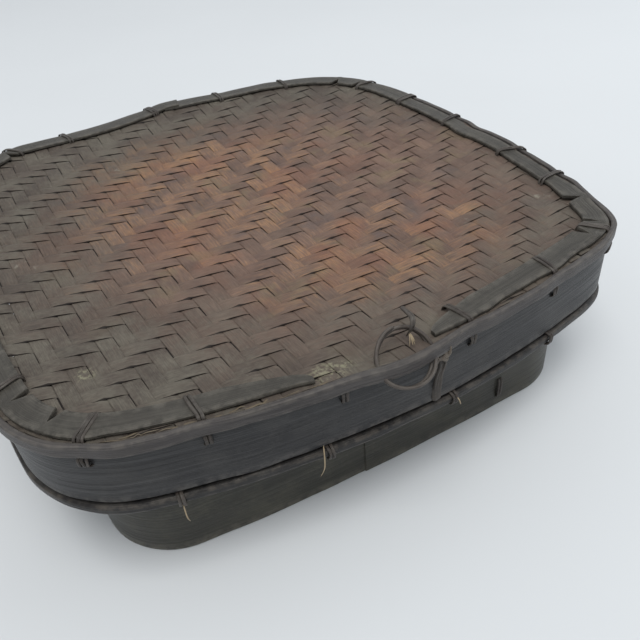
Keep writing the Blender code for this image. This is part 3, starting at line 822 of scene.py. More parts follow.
class BASKET_OT_lid_stitches(bpy.types.Operator):
    """Stitch the bead, laths and hoops of the lid with split rattan"""

    bl_idname = "basket.lid_stitches"
    bl_label = "Lid stitches"

    def execute(self, context):
        sizes, _, _ = props()
        seed = 40
        for side, places in LID_STITCHES.items():
            for number, place in enumerate(places, 1):
                seed += 1
                stitch(f"lid_stitch_{side}_{number}", side, place, FRONT_LOOP if side == "front" else LONG_LOOP, sizes,
                       seed, strands=3 if seed % 4 == 1 else 2, slant=(0.0050, 0.0034, -0.0030)[seed % 3])
        stitch("lid_stitch_front_short", "front", SHORT_STITCH_X, SHORT_LOOP, sizes, 39, slant=-0.002)
        for side, places in HOOP_STITCHES.items():
            for number, place in enumerate(places, 1):
                seed += 1
                stitch(f"hoop_stitch_{side}_{number}", side, place, HOOP_LOOP, sizes, seed, slant=0.0016)
        return {"FINISHED"}


class BASKET_OT_base_stitches(bpy.types.Operator):
    """Stitch the base's bands with split rattan"""

    bl_idname = "basket.base_stitches"
    bl_label = "Base stitches"

    def execute(self, context):
        sizes, _, _ = props()
        for seed, (side, place) in enumerate(BASE_STITCHES.items(), 80):
            stitch(f"base_stitch_{side}", side, place, BASE_LOOP, sizes, seed)
        return {"FINISHED"}


# ---------------------------------------------------------------------------------------------------------------
# Ring, tie, strap and loose fibres

def twig(skin, path, wide, thick, side=(0, 0, 1), parts=6, tone=0.5, ends=(0.15, 0.15), sides=7):
    """A short tapered strand through the points."""
    curve = smooth_line(path, parts)
    rings = cord_rings(curve, side, wide, thick, sides, ends=tapered(len(curve), *ends))
    skin.tube(rings, np.array([[[tone, 0.2, 0.0]]]))


def ring_points(points):
    """Points given in the ring's own frame, in space."""
    return [tuple(RING_FRAME @ Vector(p)) for p in points]


def coil_ring(sizes):
    """Two turns of rattan, tucked behind the rim bead."""
    axis = RING_FRAME.to_3x3() @ Vector((0, 0, 1))
    steps = 72
    coil = []
    for k in range(2 * steps + 1):
        a = 2 * math.pi * k / steps
        r = (sizes.ring_radius + 0.0005 * (k / steps - 1) + 0.0003 * math.sin(1.7 * a + 0.6)
             + 0.0002 * math.sin(3.1 * a))
        h = 0.0017 * (k / steps - 1) + 0.00015 * math.sin(2.3 * a)
        coil.append((r * math.sin(a), r * math.cos(a), h))
    ring = Skin()
    path = np.array(ring_points(coil))
    rings = cord_rings(path, tuple(axis), 2 * sizes.ring_strand, 2 * sizes.ring_strand, 10,
                       ends=tapered(len(path), 0.01, 0.01))
    ring.tube(rings, np.array([[[0.35, 0.1, 0.0]]]))
    ring.make("ring_coil", "ring", "rattan_ring", ["pull_ring"], sharp=80)


def tie_ring(sizes):
    """Two strands over the ring's upper side, with a frayed end."""
    radius = sizes.ring_radius
    top, lift = radius + 0.0045, 0.0062
    tie = Skin()
    twig(tie, ring_points([(0.0048, radius - 0.0050, -0.0016), (0.0051, radius - 0.0030, lift * 0.7),
                           (0.0060, radius - 0.0006, lift), (0.0070, radius + 0.0018, lift * 0.85),
                           (0.0082, top, 0.0006), (0.0090, top + 0.0030, -0.0040)]), 0.0020, 0.0013, (1, 0.3, 0),
         8, 0.7, (0.2, 0.05))
    twig(tie, ring_points([(0.0060, radius - 0.0046, -0.0012), (0.0064, radius - 0.0026, lift * 0.72),
                           (0.0072, radius - 0.0002, lift * 1.02), (0.0082, radius + 0.0022, lift * 0.8),
                           (0.0090, top + 0.0004, 0.0002), (0.0096, top + 0.0030, -0.0040)]), 0.0012, 0.0010,
         (1, 0.3, 0), 8, 0.3, (0.2, 0.05))
    tie.make("ring_tie_strand", "lid", "rattan_strand", ["ring_tie"], sharp=80)

    fray = Skin()
    chance = random.Random(5)
    for _ in range(7):
        dx, dy = chance.uniform(-0.0014, 0.0016), chance.uniform(-0.0022, 0.0006)
        twig(fray, ring_points([(0.0050, radius - 0.0036, 0.0020),
                                (0.0048 + dx * 0.5, radius - 0.0056 + dy * 0.5, 0.0022),
                                (0.0046 + dx, radius - 0.0078 + dy, 0.0012 + chance.uniform(-0.0006, 0.0008))]),
             0.0005, 0.0003, (1, 0, 0), 5, chance.uniform(0.3, 1), (0.1, 0.5), 5)
    fray.make("ring_tie_fray", "lid", "straw_fibre", sharp=80)


def strap_frame():
    """At the strap: the ways outwards and along, and a function that turns u, z and w there into a point."""
    foot, out3, side = LID.frame(LID.place("front", STRAP_X))

    def at(u, z, w=0.0):
        return tuple(foot + out3 * u + side * w + np.array([0, 0, z]))

    return out3, side, at


def hang_strap():
    """A flat strand that hangs in front of the band, with two thin ones on it."""
    out3, side, at = strap_frame()
    strap = Skin()
    line = smooth_line([at(-0.0022, 0.0840, 0.0006), at(-0.0018, 0.0800, 0.0008), at(-0.0019, 0.0740, -0.0002),
                        at(-0.0017, 0.0680, -0.0010), at(-0.0019, 0.0620, -0.0012),
                        at(-0.0016, 0.0584, -0.0010)], 8)
    spread = np.linspace(0, 1, len(line))
    twist = 0.5 * np.sin(3.0 * spread)[:, None]
    turned = np.cos(twist) * side + np.sin(twist) * out3
    strap.tube(cord_rings(line, turned, 0.0026 + 0.0020 * spread, 0.0010, 12, ends=tapered(len(line), 0.04, 0.06)),
               np.array([[[0.35, 0.15, 0.0]]]))
    twig(strap, [at(-0.0010, 0.0850, 0.0020), at(-0.0008, 0.0800, 0.0024), at(-0.0012, 0.0740, 0.0010),
                 at(-0.0010, 0.0680, 0.0004), at(-0.0014, 0.0610, 0.0002)], 0.0013, 0.0008, tuple(side), 8, 0.9)
    twig(strap, [at(-0.0012, 0.0846, -0.0004), at(-0.0008, 0.0790, -0.0006), at(-0.0012, 0.0730, -0.0020),
                 at(-0.0014, 0.0650, -0.0028)], 0.0011, 0.0008, tuple(side), 8, 0.2)
    strap.make("strap_strip", "lid", "rattan_strand", ["front_strap"], sharp=80)


def twist_knot():
    """Four turns of rattan round each other, with two ends that stick up."""
    out3, side, at = strap_frame()
    knot = Skin()
    for turn_number, (lean, wide) in enumerate(((-0.5, 0.0031), (0.35, 0.0034), (1.0, 0.0026), (-1.1, 0.0030))):
        centre = np.array(at(-0.0006, 0.0862 + 0.0010 * (turn_number - 1.5), 0.0007 * (turn_number % 2)))
        loop = []
        for k in range(10):
            a = 2 * math.pi * k / 10
            flat = side * math.cos(lean) + np.array([0, 0, 1]) * math.sin(lean)
            cross = np.cross(flat, out3)
            loop.append(centre + flat * wide * math.cos(a) + out3 * 0.0013 * math.sin(a)
                        + cross * 0.0005 * math.sin(2 * a))
        loop = smooth_loop(loop, 4)
        knot.tube(cord_rings(loop, tuple(out3), 0.0014, 0.0019, 8, closed=True),
                  np.array([[[0.4 + 0.15 * turn_number, 0.3, 0.0]]]), closed=True)
    twig(knot, [at(0.0004, 0.0862, -0.0020), at(0.0014, 0.0880, -0.0042), at(0.0012, 0.0905, -0.0052),
                at(0.0010, 0.0935, -0.0040)], 0.0013, 0.0010, tuple(out3), 7, 0.8, (0.1, 0.3))
    twig(knot, [at(0.0004, 0.0866, 0.0018), at(0.0012, 0.0892, 0.0030), at(0.0008, 0.0918, 0.0026)],
         0.0012, 0.0009, tuple(out3), 7, 0.9, (0.1, 0.4))
    knot.make("strap_knot_twist", "lid", "rattan_pale", ["strap_knot"], sharp=80)


def curl_end():
    """The ring's outer end, which curls away under the bead."""
    out3, _, at = strap_frame()
    curl = Skin()
    twig(curl, [at(-0.0004, 0.0872, -0.0004), at(0.0020, 0.0868, -0.0042), at(0.0028, 0.0846, -0.0066),
                at(0.0018, 0.0818, -0.0062), at(0.0000, 0.0802, -0.0036)], 0.0015, 0.0011, tuple(out3), 8, 0.2,
         (0.05, 0.3))
    curl.make("ring_curl", "lid", "rattan_ring", sharp=80)


class BASKET_OT_pull_ring(bpy.types.Operator):
    """Coil the pull ring, tie it to the lid and hang the strap"""

    bl_idname = "basket.pull_ring"
    bl_label = "Pull ring"

    def execute(self, context):
        sizes, _, _ = props()
        coil_ring(sizes)
        tie_ring(sizes)
        hang_strap()
        twist_knot()
        curl_end()
        return {"FINISHED"}


class BASKET_OT_loose_ends(bpy.types.Operator):
    """Scatter the broken weave ends and loose fibres at the lid's edge"""

    bl_idname = "basket.loose_ends"
    bl_label = "Loose ends"

    def execute(self, context):
        chance = random.Random(17)
        ends = Skin()
        start, end = LID.place("front", -0.128), LID.place("front", -0.040)
        for k in range(16):
            s = start + (end - start) * (k + chance.random()) / 16
            reach = chance.uniform(0.0031, 0.0042)
            length_along, z = chance.uniform(0.004, 0.013), chance.uniform(0.0934, 0.0941)
            path = []
            for part in (0.0, 0.35, 0.7, 1.0):
                xy, out = LID.at(s + part * length_along)
                deep = reach + part * chance.uniform(0.0, 0.0018)
                path.append((*(xy - out * deep), z + chance.uniform(-0.0003, 0.0003)))
            twig(ends, path, chance.uniform(0.0004, 0.0009), 0.0003, (0.3, 1, 0), 4, chance.random(), (0.25, 0.2), 6)
        ends.make("weave_ends", "lid", "straw_end", sharp=60)

        fibres = Skin()
        for side, where, z0, z1, drift in FIBRES:
            foot, out3, along = LID.frame(LID.place(side, where))
            path = [foot + out3 * u + along * drift * aside + np.array([0, 0, z0 - fall * (z0 - z1)])
                    for u, aside, fall in ((-0.0030, 0.0, 0.0), (0.0004, 0.3, 0.3), (0.0012, 0.5, 0.65),
                                           (0.0006, 1.0, 1.0))]
            twig(fibres, path, 0.0006, 0.0004, tuple(along), 6, chance.random(), (0.1, 0.4), 6)
        fibres.make("loose_fibres", "lid", "straw_fibre", sharp=80)
        return {"FINISHED"}


# ---------------------------------------------------------------------------------------------------------------
# Base

class BASKET_OT_base_walls(bpy.types.Operator):
    """Bend the base's bands and rim laths"""

    bl_idname = "basket.base_walls"
    bl_label = "Base walls"

    def execute(self, context):
        splice = BASE.place("front", -0.010)
        hoop("base_band", "base_outer_band", "base", "base_band",
             slab(0.0, 0.0030, 0.0004, 0.0465, 0.0008, (7, 1, 3, 1)), 61, 0.0035, 0.0002, 0.0003,
             splice=(splice, 0.045, 0.0007))
        hoop("base_wall", "base_inner_wall", "base", "base_band",
             slab(-0.0033, 0.0020, 0.0015, BASE_RIM_TOP, 0.0004, (7, 1, 7, 1)), 62, 0.0035, 0.0001)
        for name, out, seed in (("outer", -0.0010, 63), ("inner", -0.0056, 64)):
            hoop(f"base_rim_{name}", f"base_rim_{name}_lath", "base", "base_lath",
                 slab(out, 0.0020, BASE_RIM_LOW, BASE_RIM_TOP, 0.0006), seed, 0.0035, 0.0003)
        return {"FINISHED"}


class BASKET_OT_base_bottom(bpy.types.Operator):
    """Weave the base's bottom and lay the foot laths under it"""

    bl_idname = "basket.base_bottom"
    bl_label = "Base bottom"

    def execute(self, context):
        sizes, _, _ = props()
        woven_panel("base", "base_woven_bottom", base_lattice, range(-18, 19), range(-17, 18), 0.0060, bottom_height,
                    sizes, 13, 5)
        for number, name in enumerate(("left", "middle", "right")):
            node = f"base_foot_lath_{name}"
            low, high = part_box(node)
            y = np.linspace(low.y, high.y, 90)
            across = np.array([-1, -0.96, -0.5, 0, 0.5, 0.96, 1, 0.96, 0.5, 0, -0.5, -0.96])
            up = np.array([0.5, 0.06, 0, 0, 0, 0.06, 0.5, 0.94, 1, 1, 1, 0.94])
            half = (high.x - low.x) / 2
            middle = (high.x + low.x) / 2
            ring = np.zeros((len(y), 12, 3))
            ring[:, :, 0] = middle + across[None, :] * (half * (1 - 0.04 * np.abs(np.sin(31 * y + number))))[:, None]
            ring[:, :, 1] = y[:, None]
            ring[:, :, 2] = low.z + up[None, :] * (high.z - low.z)
            marks = np.zeros((len(y), 12, 3))
            marks[:, :, 0] = 0.3 + 0.3 * number
            marks[:, :, 1] = np.array([1, 0.8, 0, 0, 0, 0.8, 1, 0.8, 0, 0, 0, 0.8])
            skin = Skin()
            skin.tube(ring, marks)
            skin.make(f"base_foot_{name}", "base", "base_lath", [node])
        return {"FINISHED"}


# ---------------------------------------------------------------------------------------------------------------
# Finishes

class Tree:
    """Short ways to add and join nodes."""

    def __init__(self, tree):
        self.tree = tree

    def add(self, kind, inputs=(), **settings):
        node = self.tree.nodes.new(kind)
        for key, value in settings.items():
            setattr(node, key, value)
        for key, value in dict(inputs).items():
            self.feed(node.inputs[key], value)
        return node

    def feed(self, socket, value):
        if isinstance(value, bpy.types.NodeSocket):
            self.tree.links.new(value, socket)
        elif socket.type == "RGBA":
            socket.default_value = (*value[:3], 1)
        else:
            socket.default_value = value

    def math(self, operation, a, b=0.0, clamp=False):
        return self.add("ShaderNodeMath", {0: a, 1: b}, operation=operation, use_clamp=clamp).outputs[0]

    def times(self, a, b):
        return self.math("MULTIPLY", a, b)

    def plus(self, a, b, clamp=False):
        return self.math("ADD", a, b, clamp)

    def total(self, *parts):
        """The sum of some values, each times its weight."""
        value = self.times(*parts[0])
        for part in parts[1:]:
            value = self.plus(value, self.times(*part))
        return value

    def vector(self, operation, a, b=(0, 0, 0)):
        node = self.add("ShaderNodeVectorMath", {0: a, 1: b}, operation=operation)
        return node.outputs["Value" if operation == "LENGTH" else 0]

    def ramp(self, value, low, high, to_low=0.0, to_high=1.0):
        node = self.add("ShaderNodeMapRange", {"Value": value, "From Min": low, "From Max": high, "To Min": to_low,
                                               "To Max": to_high}, interpolation_type="SMOOTHSTEP")
        return node.outputs[0]

    def mix(self, share, a, b):
        node = self.add("ShaderNodeMix", data_type="RGBA")
        self.feed(node.inputs[0], share)
        self.feed(node.inputs[6], a)
        self.feed(node.inputs[7], b)
        return node.outputs[2]

    def noise(self, vector, scale, detail=2.0, rough=0.5):
        node = self.add("ShaderNodeTexNoise", {"Vector": vector, "Scale": scale, "Detail": detail, "Roughness": rough})
        return node.outputs["Fac"]

    def group(self, name, inputs=()):
        node = self.tree.nodes.new("ShaderNodeGroup")
        node.node_tree = bpy.data.node_groups[name]
        for key, value in dict(inputs).items():
            self.feed(node.inputs[key], value)
        return node


def new_group(name, inputs, outputs):
    group = bpy.data.node_groups.new(name, "ShaderNodeTree")
    for label, kind, default in inputs:
        socket = group.interface.new_socket(label, in_out="INPUT", socket_type=kind)
        if default is not None:
            socket.default_value = default
    for label in outputs:
        group.interface.new_socket(label, in_out="OUTPUT", socket_type="NodeSocketFloat")
    tree = Tree(group)
    return tree, tree.add("NodeGroupInput"), tree.add("NodeGroupOutput")


def make_groups():
    """The effects that several finishes share: grain along a strip, the strip's own marks with their painted shade,
    dust and wear.
    """
    number, vector = "NodeSocketFloat", "NodeSocketVector"

    tree, given, made = new_group("Fibre grain", [("Along", number, 60.0), ("Across", number, 900.0),
                                                  ("Seed", number, 0.0)], ["Streak", "Fibre", "Height"])
    uv = tree.add("ShaderNodeUVMap", uv_map="fibre").outputs[0]
    split = tree.add("ShaderNodeSeparateXYZ", {0: uv})
    stretch = []
    for times_along, times_across, seed in ((1.0, 1.0, 0.0), (2.6, 4.2, 7.3)):
        along = tree.times(tree.times(split.outputs[0], given.outputs["Along"]), times_along)
        across = tree.times(tree.times(split.outputs[1], given.outputs["Across"]), times_across)
        depth = tree.plus(given.outputs["Seed"], seed)
        stretch.append(tree.add("ShaderNodeCombineXYZ", {0: along, 1: across, 2: depth}).outputs[0])
    streak = tree.ramp(tree.noise(stretch[0], 1.0, 2.0, 0.55), 0.28, 0.72)
    fibre = tree.ramp(tree.noise(stretch[1], 1.0, 2.0, 0.6), 0.30, 0.70)
    tree.feed(made.inputs["Streak"], streak)
    tree.feed(made.inputs["Fibre"], fibre)
    tree.feed(made.inputs["Height"], tree.total((streak, 0.55), (fibre, 0.45)))

    tree, _, made = new_group("Strip marks", [], ["Tone", "Rub", "Depth"])
    marks = tree.add("ShaderNodeAttribute", attribute_name="marks").outputs["Color"]
    split = tree.add("ShaderNodeSeparateColor", {0: marks})
    # The third mark is painted shade, read from how deep each face lies
    for k, label in enumerate(("Tone", "Rub", "Depth")):
        tree.feed(made.inputs[label], split.outputs[k])

    tree, given, made = new_group("Dust", [("Position", vector, None), ("Scale", number, 60.0), ("Low", number, 0.5),
                                           ("High", number, 0.75)], ["Mask"])
    cloud = tree.noise(given.outputs["Position"], given.outputs["Scale"], 4.0, 0.62)
    fine = tree.noise(given.outputs["Position"], tree.times(given.outputs["Scale"], 9.0), 2.0, 0.6)
    up = tree.add("ShaderNodeSeparateXYZ", {0: tree.add("ShaderNodeNewGeometry").outputs["Normal"]}).outputs[2]
    lying = tree.ramp(up, 0.1, 0.95, 0.35, 1.0)
    mask = tree.ramp(tree.total((cloud, 0.72), (fine, 0.28)), given.outputs["Low"], given.outputs["High"])
    tree.feed(made.inputs["Mask"], tree.times(mask, lying))

    tree, given, made = new_group("Worn zone", [("Position", vector, None), ("Centre", vector, None),
                                                ("Reach", vector, (0.1, 0.1, 0.1))], ["Mask"])
    away = tree.vector("SUBTRACT", given.outputs["Position"], given.outputs["Centre"])
    size = tree.vector("LENGTH", tree.vector("DIVIDE", away, given.outputs["Reach"]))
    wobble = tree.noise(given.outputs["Position"], 22.0, 3.0, 0.6)
    size = tree.plus(size, tree.times(tree.math("SUBTRACT", wobble, 0.5), 0.9))
    tree.feed(made.inputs["Mask"], tree.ramp(size, 0.35, 1.15, 1.0, 0.0))


def new_finish(name):
    material = bpy.data.materials.new(name)
    material.use_nodes = True
    material.node_tree.nodes.clear()
    tree = Tree(material.node_tree)
    shader = tree.add("ShaderNodeBsdfPrincipled")
    out = tree.add("ShaderNodeOutputMaterial")
    tree.feed(out.inputs["Surface"], shader.outputs[0])
    return material, tree, shader


def scaled(colour, by):
    return tuple(min(1.0, c * by) for c in colour)


def start_finish(name, along, across, seed):
    """A new finish that reads the piece's own marks and has the grain of its fibres."""
    _, tree, shader = new_finish(name)
    position = tree.add("ShaderNodeTexCoord").outputs["Object"]
    marks = tree.group("Strip marks")
    grain = tree.group("Fibre grain", {"Along": along, "Across": across, "Seed": seed})
    return tree, shader, position, *marks.outputs, *grain.outputs


def end_finish(tree, shader, colour, rough, specular, height, strength, distance):
    tree.feed(shader.inputs["Base Color"], colour)
    tree.feed(shader.inputs["Roughness"], rough)
    shader.inputs["Specular IOR Level"].default_value = specular
    bump = tree.add("ShaderNodeBump", {"Height": height, "Strength": strength, "Distance": distance})
    tree.feed(shader.inputs["Normal"], bump.outputs[0])


def strip_finish(name, colours, worn=1.0, dusty=1.0):
    """Woven strips: smoked brown, rubbed to orange in the middle, grey with dust round the edge, and painted shade
    where they dive under one another.
    """
    tree, shader, position, tone, rub, depth, streak, fibre, height = start_finish(name, 75.0, 1100.0, 2.0)

    def zone_mask(centre, reach):
        return tree.group("Worn zone", {"Position": position, "Centre": centre, "Reach": reach}).outputs[0]

    def dust_mask(scale, low, high):
        return tree.group("Dust", {"Position": position, "Scale": scale, "Low": low, "High": high}).outputs[0]

    # Smoked brown, darker in places and along the grain
    blotch = tree.ramp(tree.noise(position, 55.0, 3.0, 0.6), 0.35, 0.65)
    share = tree.plus(tree.total((tone, 0.50), (streak, 0.30)), tree.times(blotch, 0.35), True)
    colour = tree.mix(share, colours.strip_dark, colours.strip)

    # Rubbed to orange, strip by strip, in the worn zones
    zone = 0.0
    for centre, reach, strength in WORN:
        zone = tree.math("MAXIMUM", zone, tree.times(zone_mask(centre, reach), strength))
    wear = tree.total((zone, 0.52), (tone, 0.46), (tree.noise(position, 90.0, 4.0, 0.7), 0.85), (streak, 0.34))
    colour = tree.mix(tree.ramp(wear, 1.12, 1.82, 0.0, 0.80 * worn), colour, colours.worn)

    # Patches of olive, plum and red
    hue = tree.noise(position, 38.0, 3.0, 0.6)
    colour = tree.mix(tree.ramp(hue, 0.56, 0.68, 0.0, 0.45), colour, (0.215, 0.165, 0.098))
    colour = tree.mix(tree.ramp(hue, 0.44, 0.34, 0.0, 0.50), colour, (0.120, 0.092, 0.088))
    red = tree.ramp(tree.noise(position, 30.0, 2.0, 0.5), 0.48, 0.62, 0.0, 0.42 * worn)
    colour = tree.mix(tree.times(red, zone), colour, (0.260, 0.115, 0.070))

    # Soot and dust gather towards the edge
    edge = tree.vector("MULTIPLY", tree.vector("SUBTRACT", position, (0.028, -0.018, 0.0)), (1.0, 1.0, 0.0))
    edge = tree.plus(tree.vector("LENGTH", edge), tree.times(tree.noise(position, 16.0, 3.0, 0.6), 0.050))
    sooty = tree.mix(tree.plus(tree.times(tone, 0.5), tree.times(streak, 0.5), True), (0.056, 0.048, 0.041),
                     (0.116, 0.097, 0.080))
    colour = tree.mix(tree.ramp(edge, 0.105, 0.205, 0.0, 0.92), colour, sooty)
    rim = tree.ramp(edge, 0.110, 0.200, 0.15, 0.70)
    dust = tree.times(tree.times(dust_mask(46.0, 0.40, 0.66), rim), dusty)
    colour = tree.mix(dust, colour, colours.dust)
    colour = tree.mix(tree.times(dust_mask(26.0, 0.640, 0.70), 0.45 * dusty), colour, (0.34, 0.32, 0.26))
    for centre, reach in CRUSTS:
        crust = tree.times(zone_mask(centre, reach), tree.ramp(tree.noise(position, 420.0, 3.0, 0.7), 0.46, 0.60))
        colour = tree.mix(tree.times(crust, 0.55 * dusty), colour, (0.330, 0.320, 0.215))

    # Rubbed edges are pale and gaps in the grain are dark; shade is painted in near black where strips dive under one
    # another, on their undersides and on the rows' front edges
    colour = tree.mix(tree.times(tree.times(rub, fibre), 0.08), colour, scaled(colours.dust, 1.1))
    colour = tree.mix(tree.times(tree.math("SUBTRACT", 1.0, fibre), 0.34), colour, (0.016, 0.012, 0.011))
    colour = tree.mix(tree.ramp(depth, 0.66, 1.0, 0.0, 0.90), colour, (0.010, 0.008, 0.008))
    rough = tree.plus(tree.total((streak, 0.14), (dust, 0.30)), 0.56, True)
    end_finish(tree, shader, colour, rough, 0.20, height, 0.55, 0.00030)


def bent_finish(name, light, dark, rubbed, along, across, rough=0.5, bump=0.5, dusty=0.3, dust=(0.2, 0.19, 0.17),
                specular=0.25, rub_share=0.5, tone_share=0.35):
    """Split bamboo or rattan: long grain, pale where its edges are rubbed, a little dust, and painted shade on faces
    marked deep.
    """
    tree, shader, position, tone, rub, depth, streak, fibre, height = start_finish(name, along, across,
                                                                                   float(len(name)))
    colour = tree.mix(tree.plus(tree.times(streak, 0.62), tree.times(tone, tone_share), True), dark, light)
    colour = tree.mix(tree.times(tree.math("SUBTRACT", 1.0, fibre), 0.40), colour, scaled(dark, 0.45))
    chips = tree.ramp(tree.noise(position, 210.0, 3.0, 0.65), 0.38, 0.62)
    colour = tree.mix(tree.times(chips, tree.times(rub, rub_share)), colour, rubbed)
    mask = tree.group("Dust", {"Position": position, "Scale": 52.0, "Low": 0.42, "High": 0.68}).outputs[0]
    mask = tree.times(mask, dusty)
    colour = tree.mix(mask, colour, dust)
    # Painted shade on faces marked deep, such as a lath's underside
    colour = tree.mix(tree.times(depth, 0.6), colour, scaled(dark, 0.4))
    rough = tree.plus(tree.total((fibre, -0.12), (mask, 0.3)), rough, True)
    end_finish(tree, shader, colour, rough, specular, height, bump, 0.00035)


class BASKET_OT_finishes(bpy.types.Operator):
    """Mix the finishes of the bamboo, the rattan and the straw"""

    bl_idname = "basket.finishes"
    bl_label = "Finishes"

    def execute(self, context):
        _, colours, _ = props()
        make_groups()

        def shade(name, by=1.0):
            return scaled(getattr(colours, name), by)

        strip_finish("lid_strips", colours)
        strip_finish("base_strips", colours, worn=0.25, dusty=0.5)
        bent_finish("lid_band", shade("band"), shade("band_dark"), (0.150, 0.140, 0.130), 9.0, 520.0, 0.46, 0.7, 0.22)
        bent_finish("lid_bead", (0.096, 0.088, 0.084), (0.042, 0.037, 0.037), (0.125, 0.112, 0.098), 22.0, 900.0,
                    0.48, 0.6, 0.20, (0.120, 0.112, 0.098), rub_share=0.45)
        bent_finish("lid_hoop", (0.034, 0.031, 0.029), shade("band_dark", 0.8), (0.100, 0.086, 0.072), 18.0, 800.0,
                    0.46, 0.6, 0.20, rub_share=0.45)
        bent_finish("lid_lath", shade("lath", 0.88), shade("lath", 0.42), (0.140, 0.128, 0.108), 12.0, 900.0,
                    0.50, 0.5, 0.28, (0.130, 0.122, 0.104))
        bent_finish("base_band", shade("base"), shade("base", 0.52), (0.170, 0.155, 0.120), 6.0, 420.0,
                    0.42, 0.45, 0.60, (0.140, 0.130, 0.094), rub_share=0.45)
        bent_finish("base_lath", shade("base", 1.35), shade("base", 0.6), (0.180, 0.160, 0.130), 16.0, 620.0,
                    0.48, 0.5, 0.25)
        bent_finish("rattan_strand", shade("rattan", 1.15), shade("rattan", 0.45), (0.170, 0.148, 0.122), 90.0,
                    1500.0, 0.40, 0.5, 0.30, rub_share=0.6, tone_share=0.6)
        # The ring's rattan is paler than the strands, partly its own colour and partly painted sheen for its shiny
        # edges
        bent_finish("rattan_ring", shade("rattan", 1.9), shade("rattan", 0.75), (0.240, 0.205, 0.165), 60.0,
                    1500.0, 0.38, 0.4, 0.25)
        bent_finish("rattan_pale", (0.150, 0.120, 0.092), (0.060, 0.048, 0.040), (0.330, 0.285, 0.225), 90.0, 1500.0,
                    0.50, 0.5, 0.30, tone_share=0.6)
        bent_finish("straw_fibre", shade("straw"), shade("straw", 0.55), shade("straw", 1.2), 90.0, 1600.0,
                    0.55, 0.3, 0.1)
        bent_finish("straw_end", shade("straw", 0.36), shade("rattan", 0.8), shade("straw", 0.45), 60.0, 1200.0,
                    0.55, 0.3, 0.2, tone_share=0.9)
        return {"FINISHED"}


# ---------------------------------------------------------------------------------------------------------------
# Stage

def aim(thing, target):
    thing.rotation_euler = (Vector(target) - thing.location).to_track_quat("-Z", "Y").to_euler()


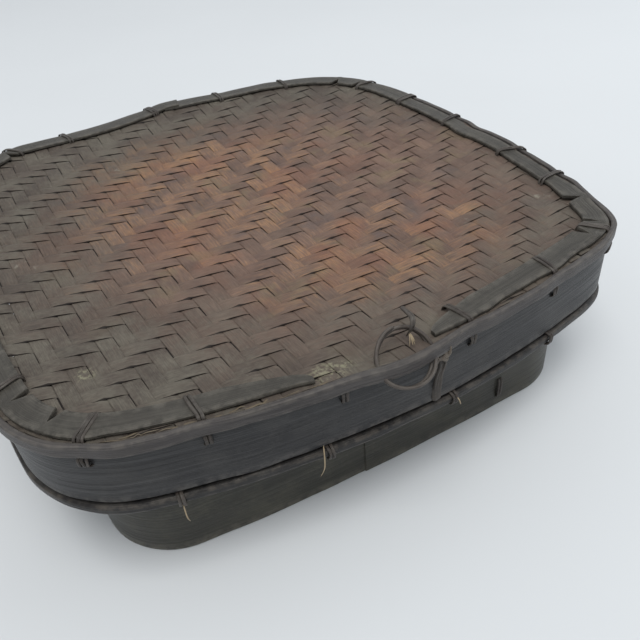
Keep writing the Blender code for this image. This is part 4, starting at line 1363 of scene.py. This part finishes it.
class BASKET_OT_stage(bpy.types.Operator):
    """Set the table top, the soft lights and the camera"""

    bl_idname = "basket.stage"
    bl_label = "Stage"

    def execute(self, context):
        _, colours, stage = props()
        scene = context.scene
        material, tree, shader = new_finish("table_top")
        position = tree.add("ShaderNodeTexCoord").outputs["Object"]
        cloud = tree.noise(position, 3.0, 3.0, 0.5)
        tree.feed(shader.inputs["Base Color"], tree.mix(tree.ramp(cloud, 0.3, 0.7, 0.0, 0.35), tuple(colours.floor),
                                                        scaled(tuple(colours.floor), 0.95)))
        shader.inputs["Roughness"].default_value = 0.8
        shader.inputs["Specular IOR Level"].default_value = 0.1
        mesh = bpy.data.meshes.new("table_top")
        corners = ((-1, -1), (1, -1), (1, 1), (-1, 1))
        mesh.from_pydata([(x * TABLE_HALF, y * TABLE_HALF, 0) for x, y in corners], [], [(0, 1, 2, 3)])
        mesh.materials.append(material)
        table = bpy.data.objects.new("table_top", mesh)
        table.location.z = -0.0002
        scene.collection.objects.link(table)

        world = bpy.data.worlds.new("room")
        world.use_nodes = True
        background = world.node_tree.nodes["Background"]
        background.inputs["Color"].default_value = (0.925, 0.955, 0.985, 1)
        background.inputs["Strength"].default_value = stage.world
        scene.world = world
        for name, place, power, size, tint in (
                ("key_light", (-0.60, -1.10, 3.80), stage.key_power, 2.2, (1.0, 0.985, 0.96)),
                ("fill_light", (1.4, -0.1, 0.9), stage.fill_power, 1.2, (0.93, 0.97, 1.0))):
            light = bpy.data.lights.new(name, "AREA")
            light.energy, light.size, light.color = power, size, tint
            lamp = bpy.data.objects.new(name, light)
            lamp.location = place
            scene.collection.objects.link(lamp)
            aim(lamp, (0, 0, 0.05))

        camera = bpy.data.cameras.new("camera")
        camera.lens, camera.sensor_width = stage.lens, 36
        camera.clip_start = 0.01
        around, above, roll, distance = CAMERA_TURN
        back = Vector((math.sin(around) * math.cos(above), -math.cos(around) * math.cos(above), math.sin(above)))
        right = (-back).cross(Vector((0, 0, 1))).normalized()
        up = right.cross(-back)
        across = right * math.cos(roll) + up * math.sin(roll)
        upward = -right * math.sin(roll) + up * math.cos(roll)
        holder = bpy.data.objects.new("camera", camera)
        holder.matrix_world = Matrix.Translation(CAMERA_TARGET + back * distance) @ Matrix(
            (across, upward, back)).transposed().to_4x4()
        scene.collection.objects.link(holder)
        scene.camera = holder
        scene.view_settings.view_transform = "Standard"
        scene.view_settings.look = "None"
        return {"FINISHED"}


# ---------------------------------------------------------------------------------------------------------------
# Panel

STEPS = (
    BASKET_OT_stage,
    BASKET_OT_finishes,
    BASKET_OT_lid_weave,
    BASKET_OT_lid_laths,
    BASKET_OT_lid_walls,
    BASKET_OT_lid_stitches,
    BASKET_OT_pull_ring,
    BASKET_OT_loose_ends,
    BASKET_OT_base_walls,
    BASKET_OT_base_bottom,
    BASKET_OT_base_stitches,
)


class BASKET_PT_parts(bpy.types.Panel):
    """The basket's pieces, in the order they are made"""

    bl_idname = "BASKET_PT_parts"
    bl_label = "Bamboo basket"
    bl_space_type = "VIEW_3D"
    bl_region_type = "UI"
    bl_category = "Basket"

    def draw(self, context):
        scene = context.scene
        for step in STEPS:
            self.layout.operator(step.bl_idname)
        for label, group in (("Sizes", scene.basket_sizes), ("Colours", scene.basket_colours),
                             ("Stage", scene.basket_stage)):
            box = self.layout.box()
            box.label(text=label)
            for name in group.bl_rna.properties.keys():
                if name not in ("rna_type", "name"):
                    box.prop(group, name)


CLASSES = (BasketSizes, BasketColours, BasketStage, *STEPS, BASKET_PT_parts)


def register():
    for cls in CLASSES:
        bpy.utils.register_class(cls)
    bpy.types.Scene.basket_sizes = PointerProperty(type=BasketSizes)
    bpy.types.Scene.basket_colours = PointerProperty(type=BasketColours)
    bpy.types.Scene.basket_stage = PointerProperty(type=BasketStage)


def unregister():
    del bpy.types.Scene.basket_stage
    del bpy.types.Scene.basket_colours
    del bpy.types.Scene.basket_sizes
    for cls in reversed(CLASSES):
        bpy.utils.unregister_class(cls)


def main():
    register()
    for step in STEPS:
        area, name = step.bl_idname.split(".")
        getattr(getattr(bpy.ops, area), name)()


if __name__ == "__main__":
    main()
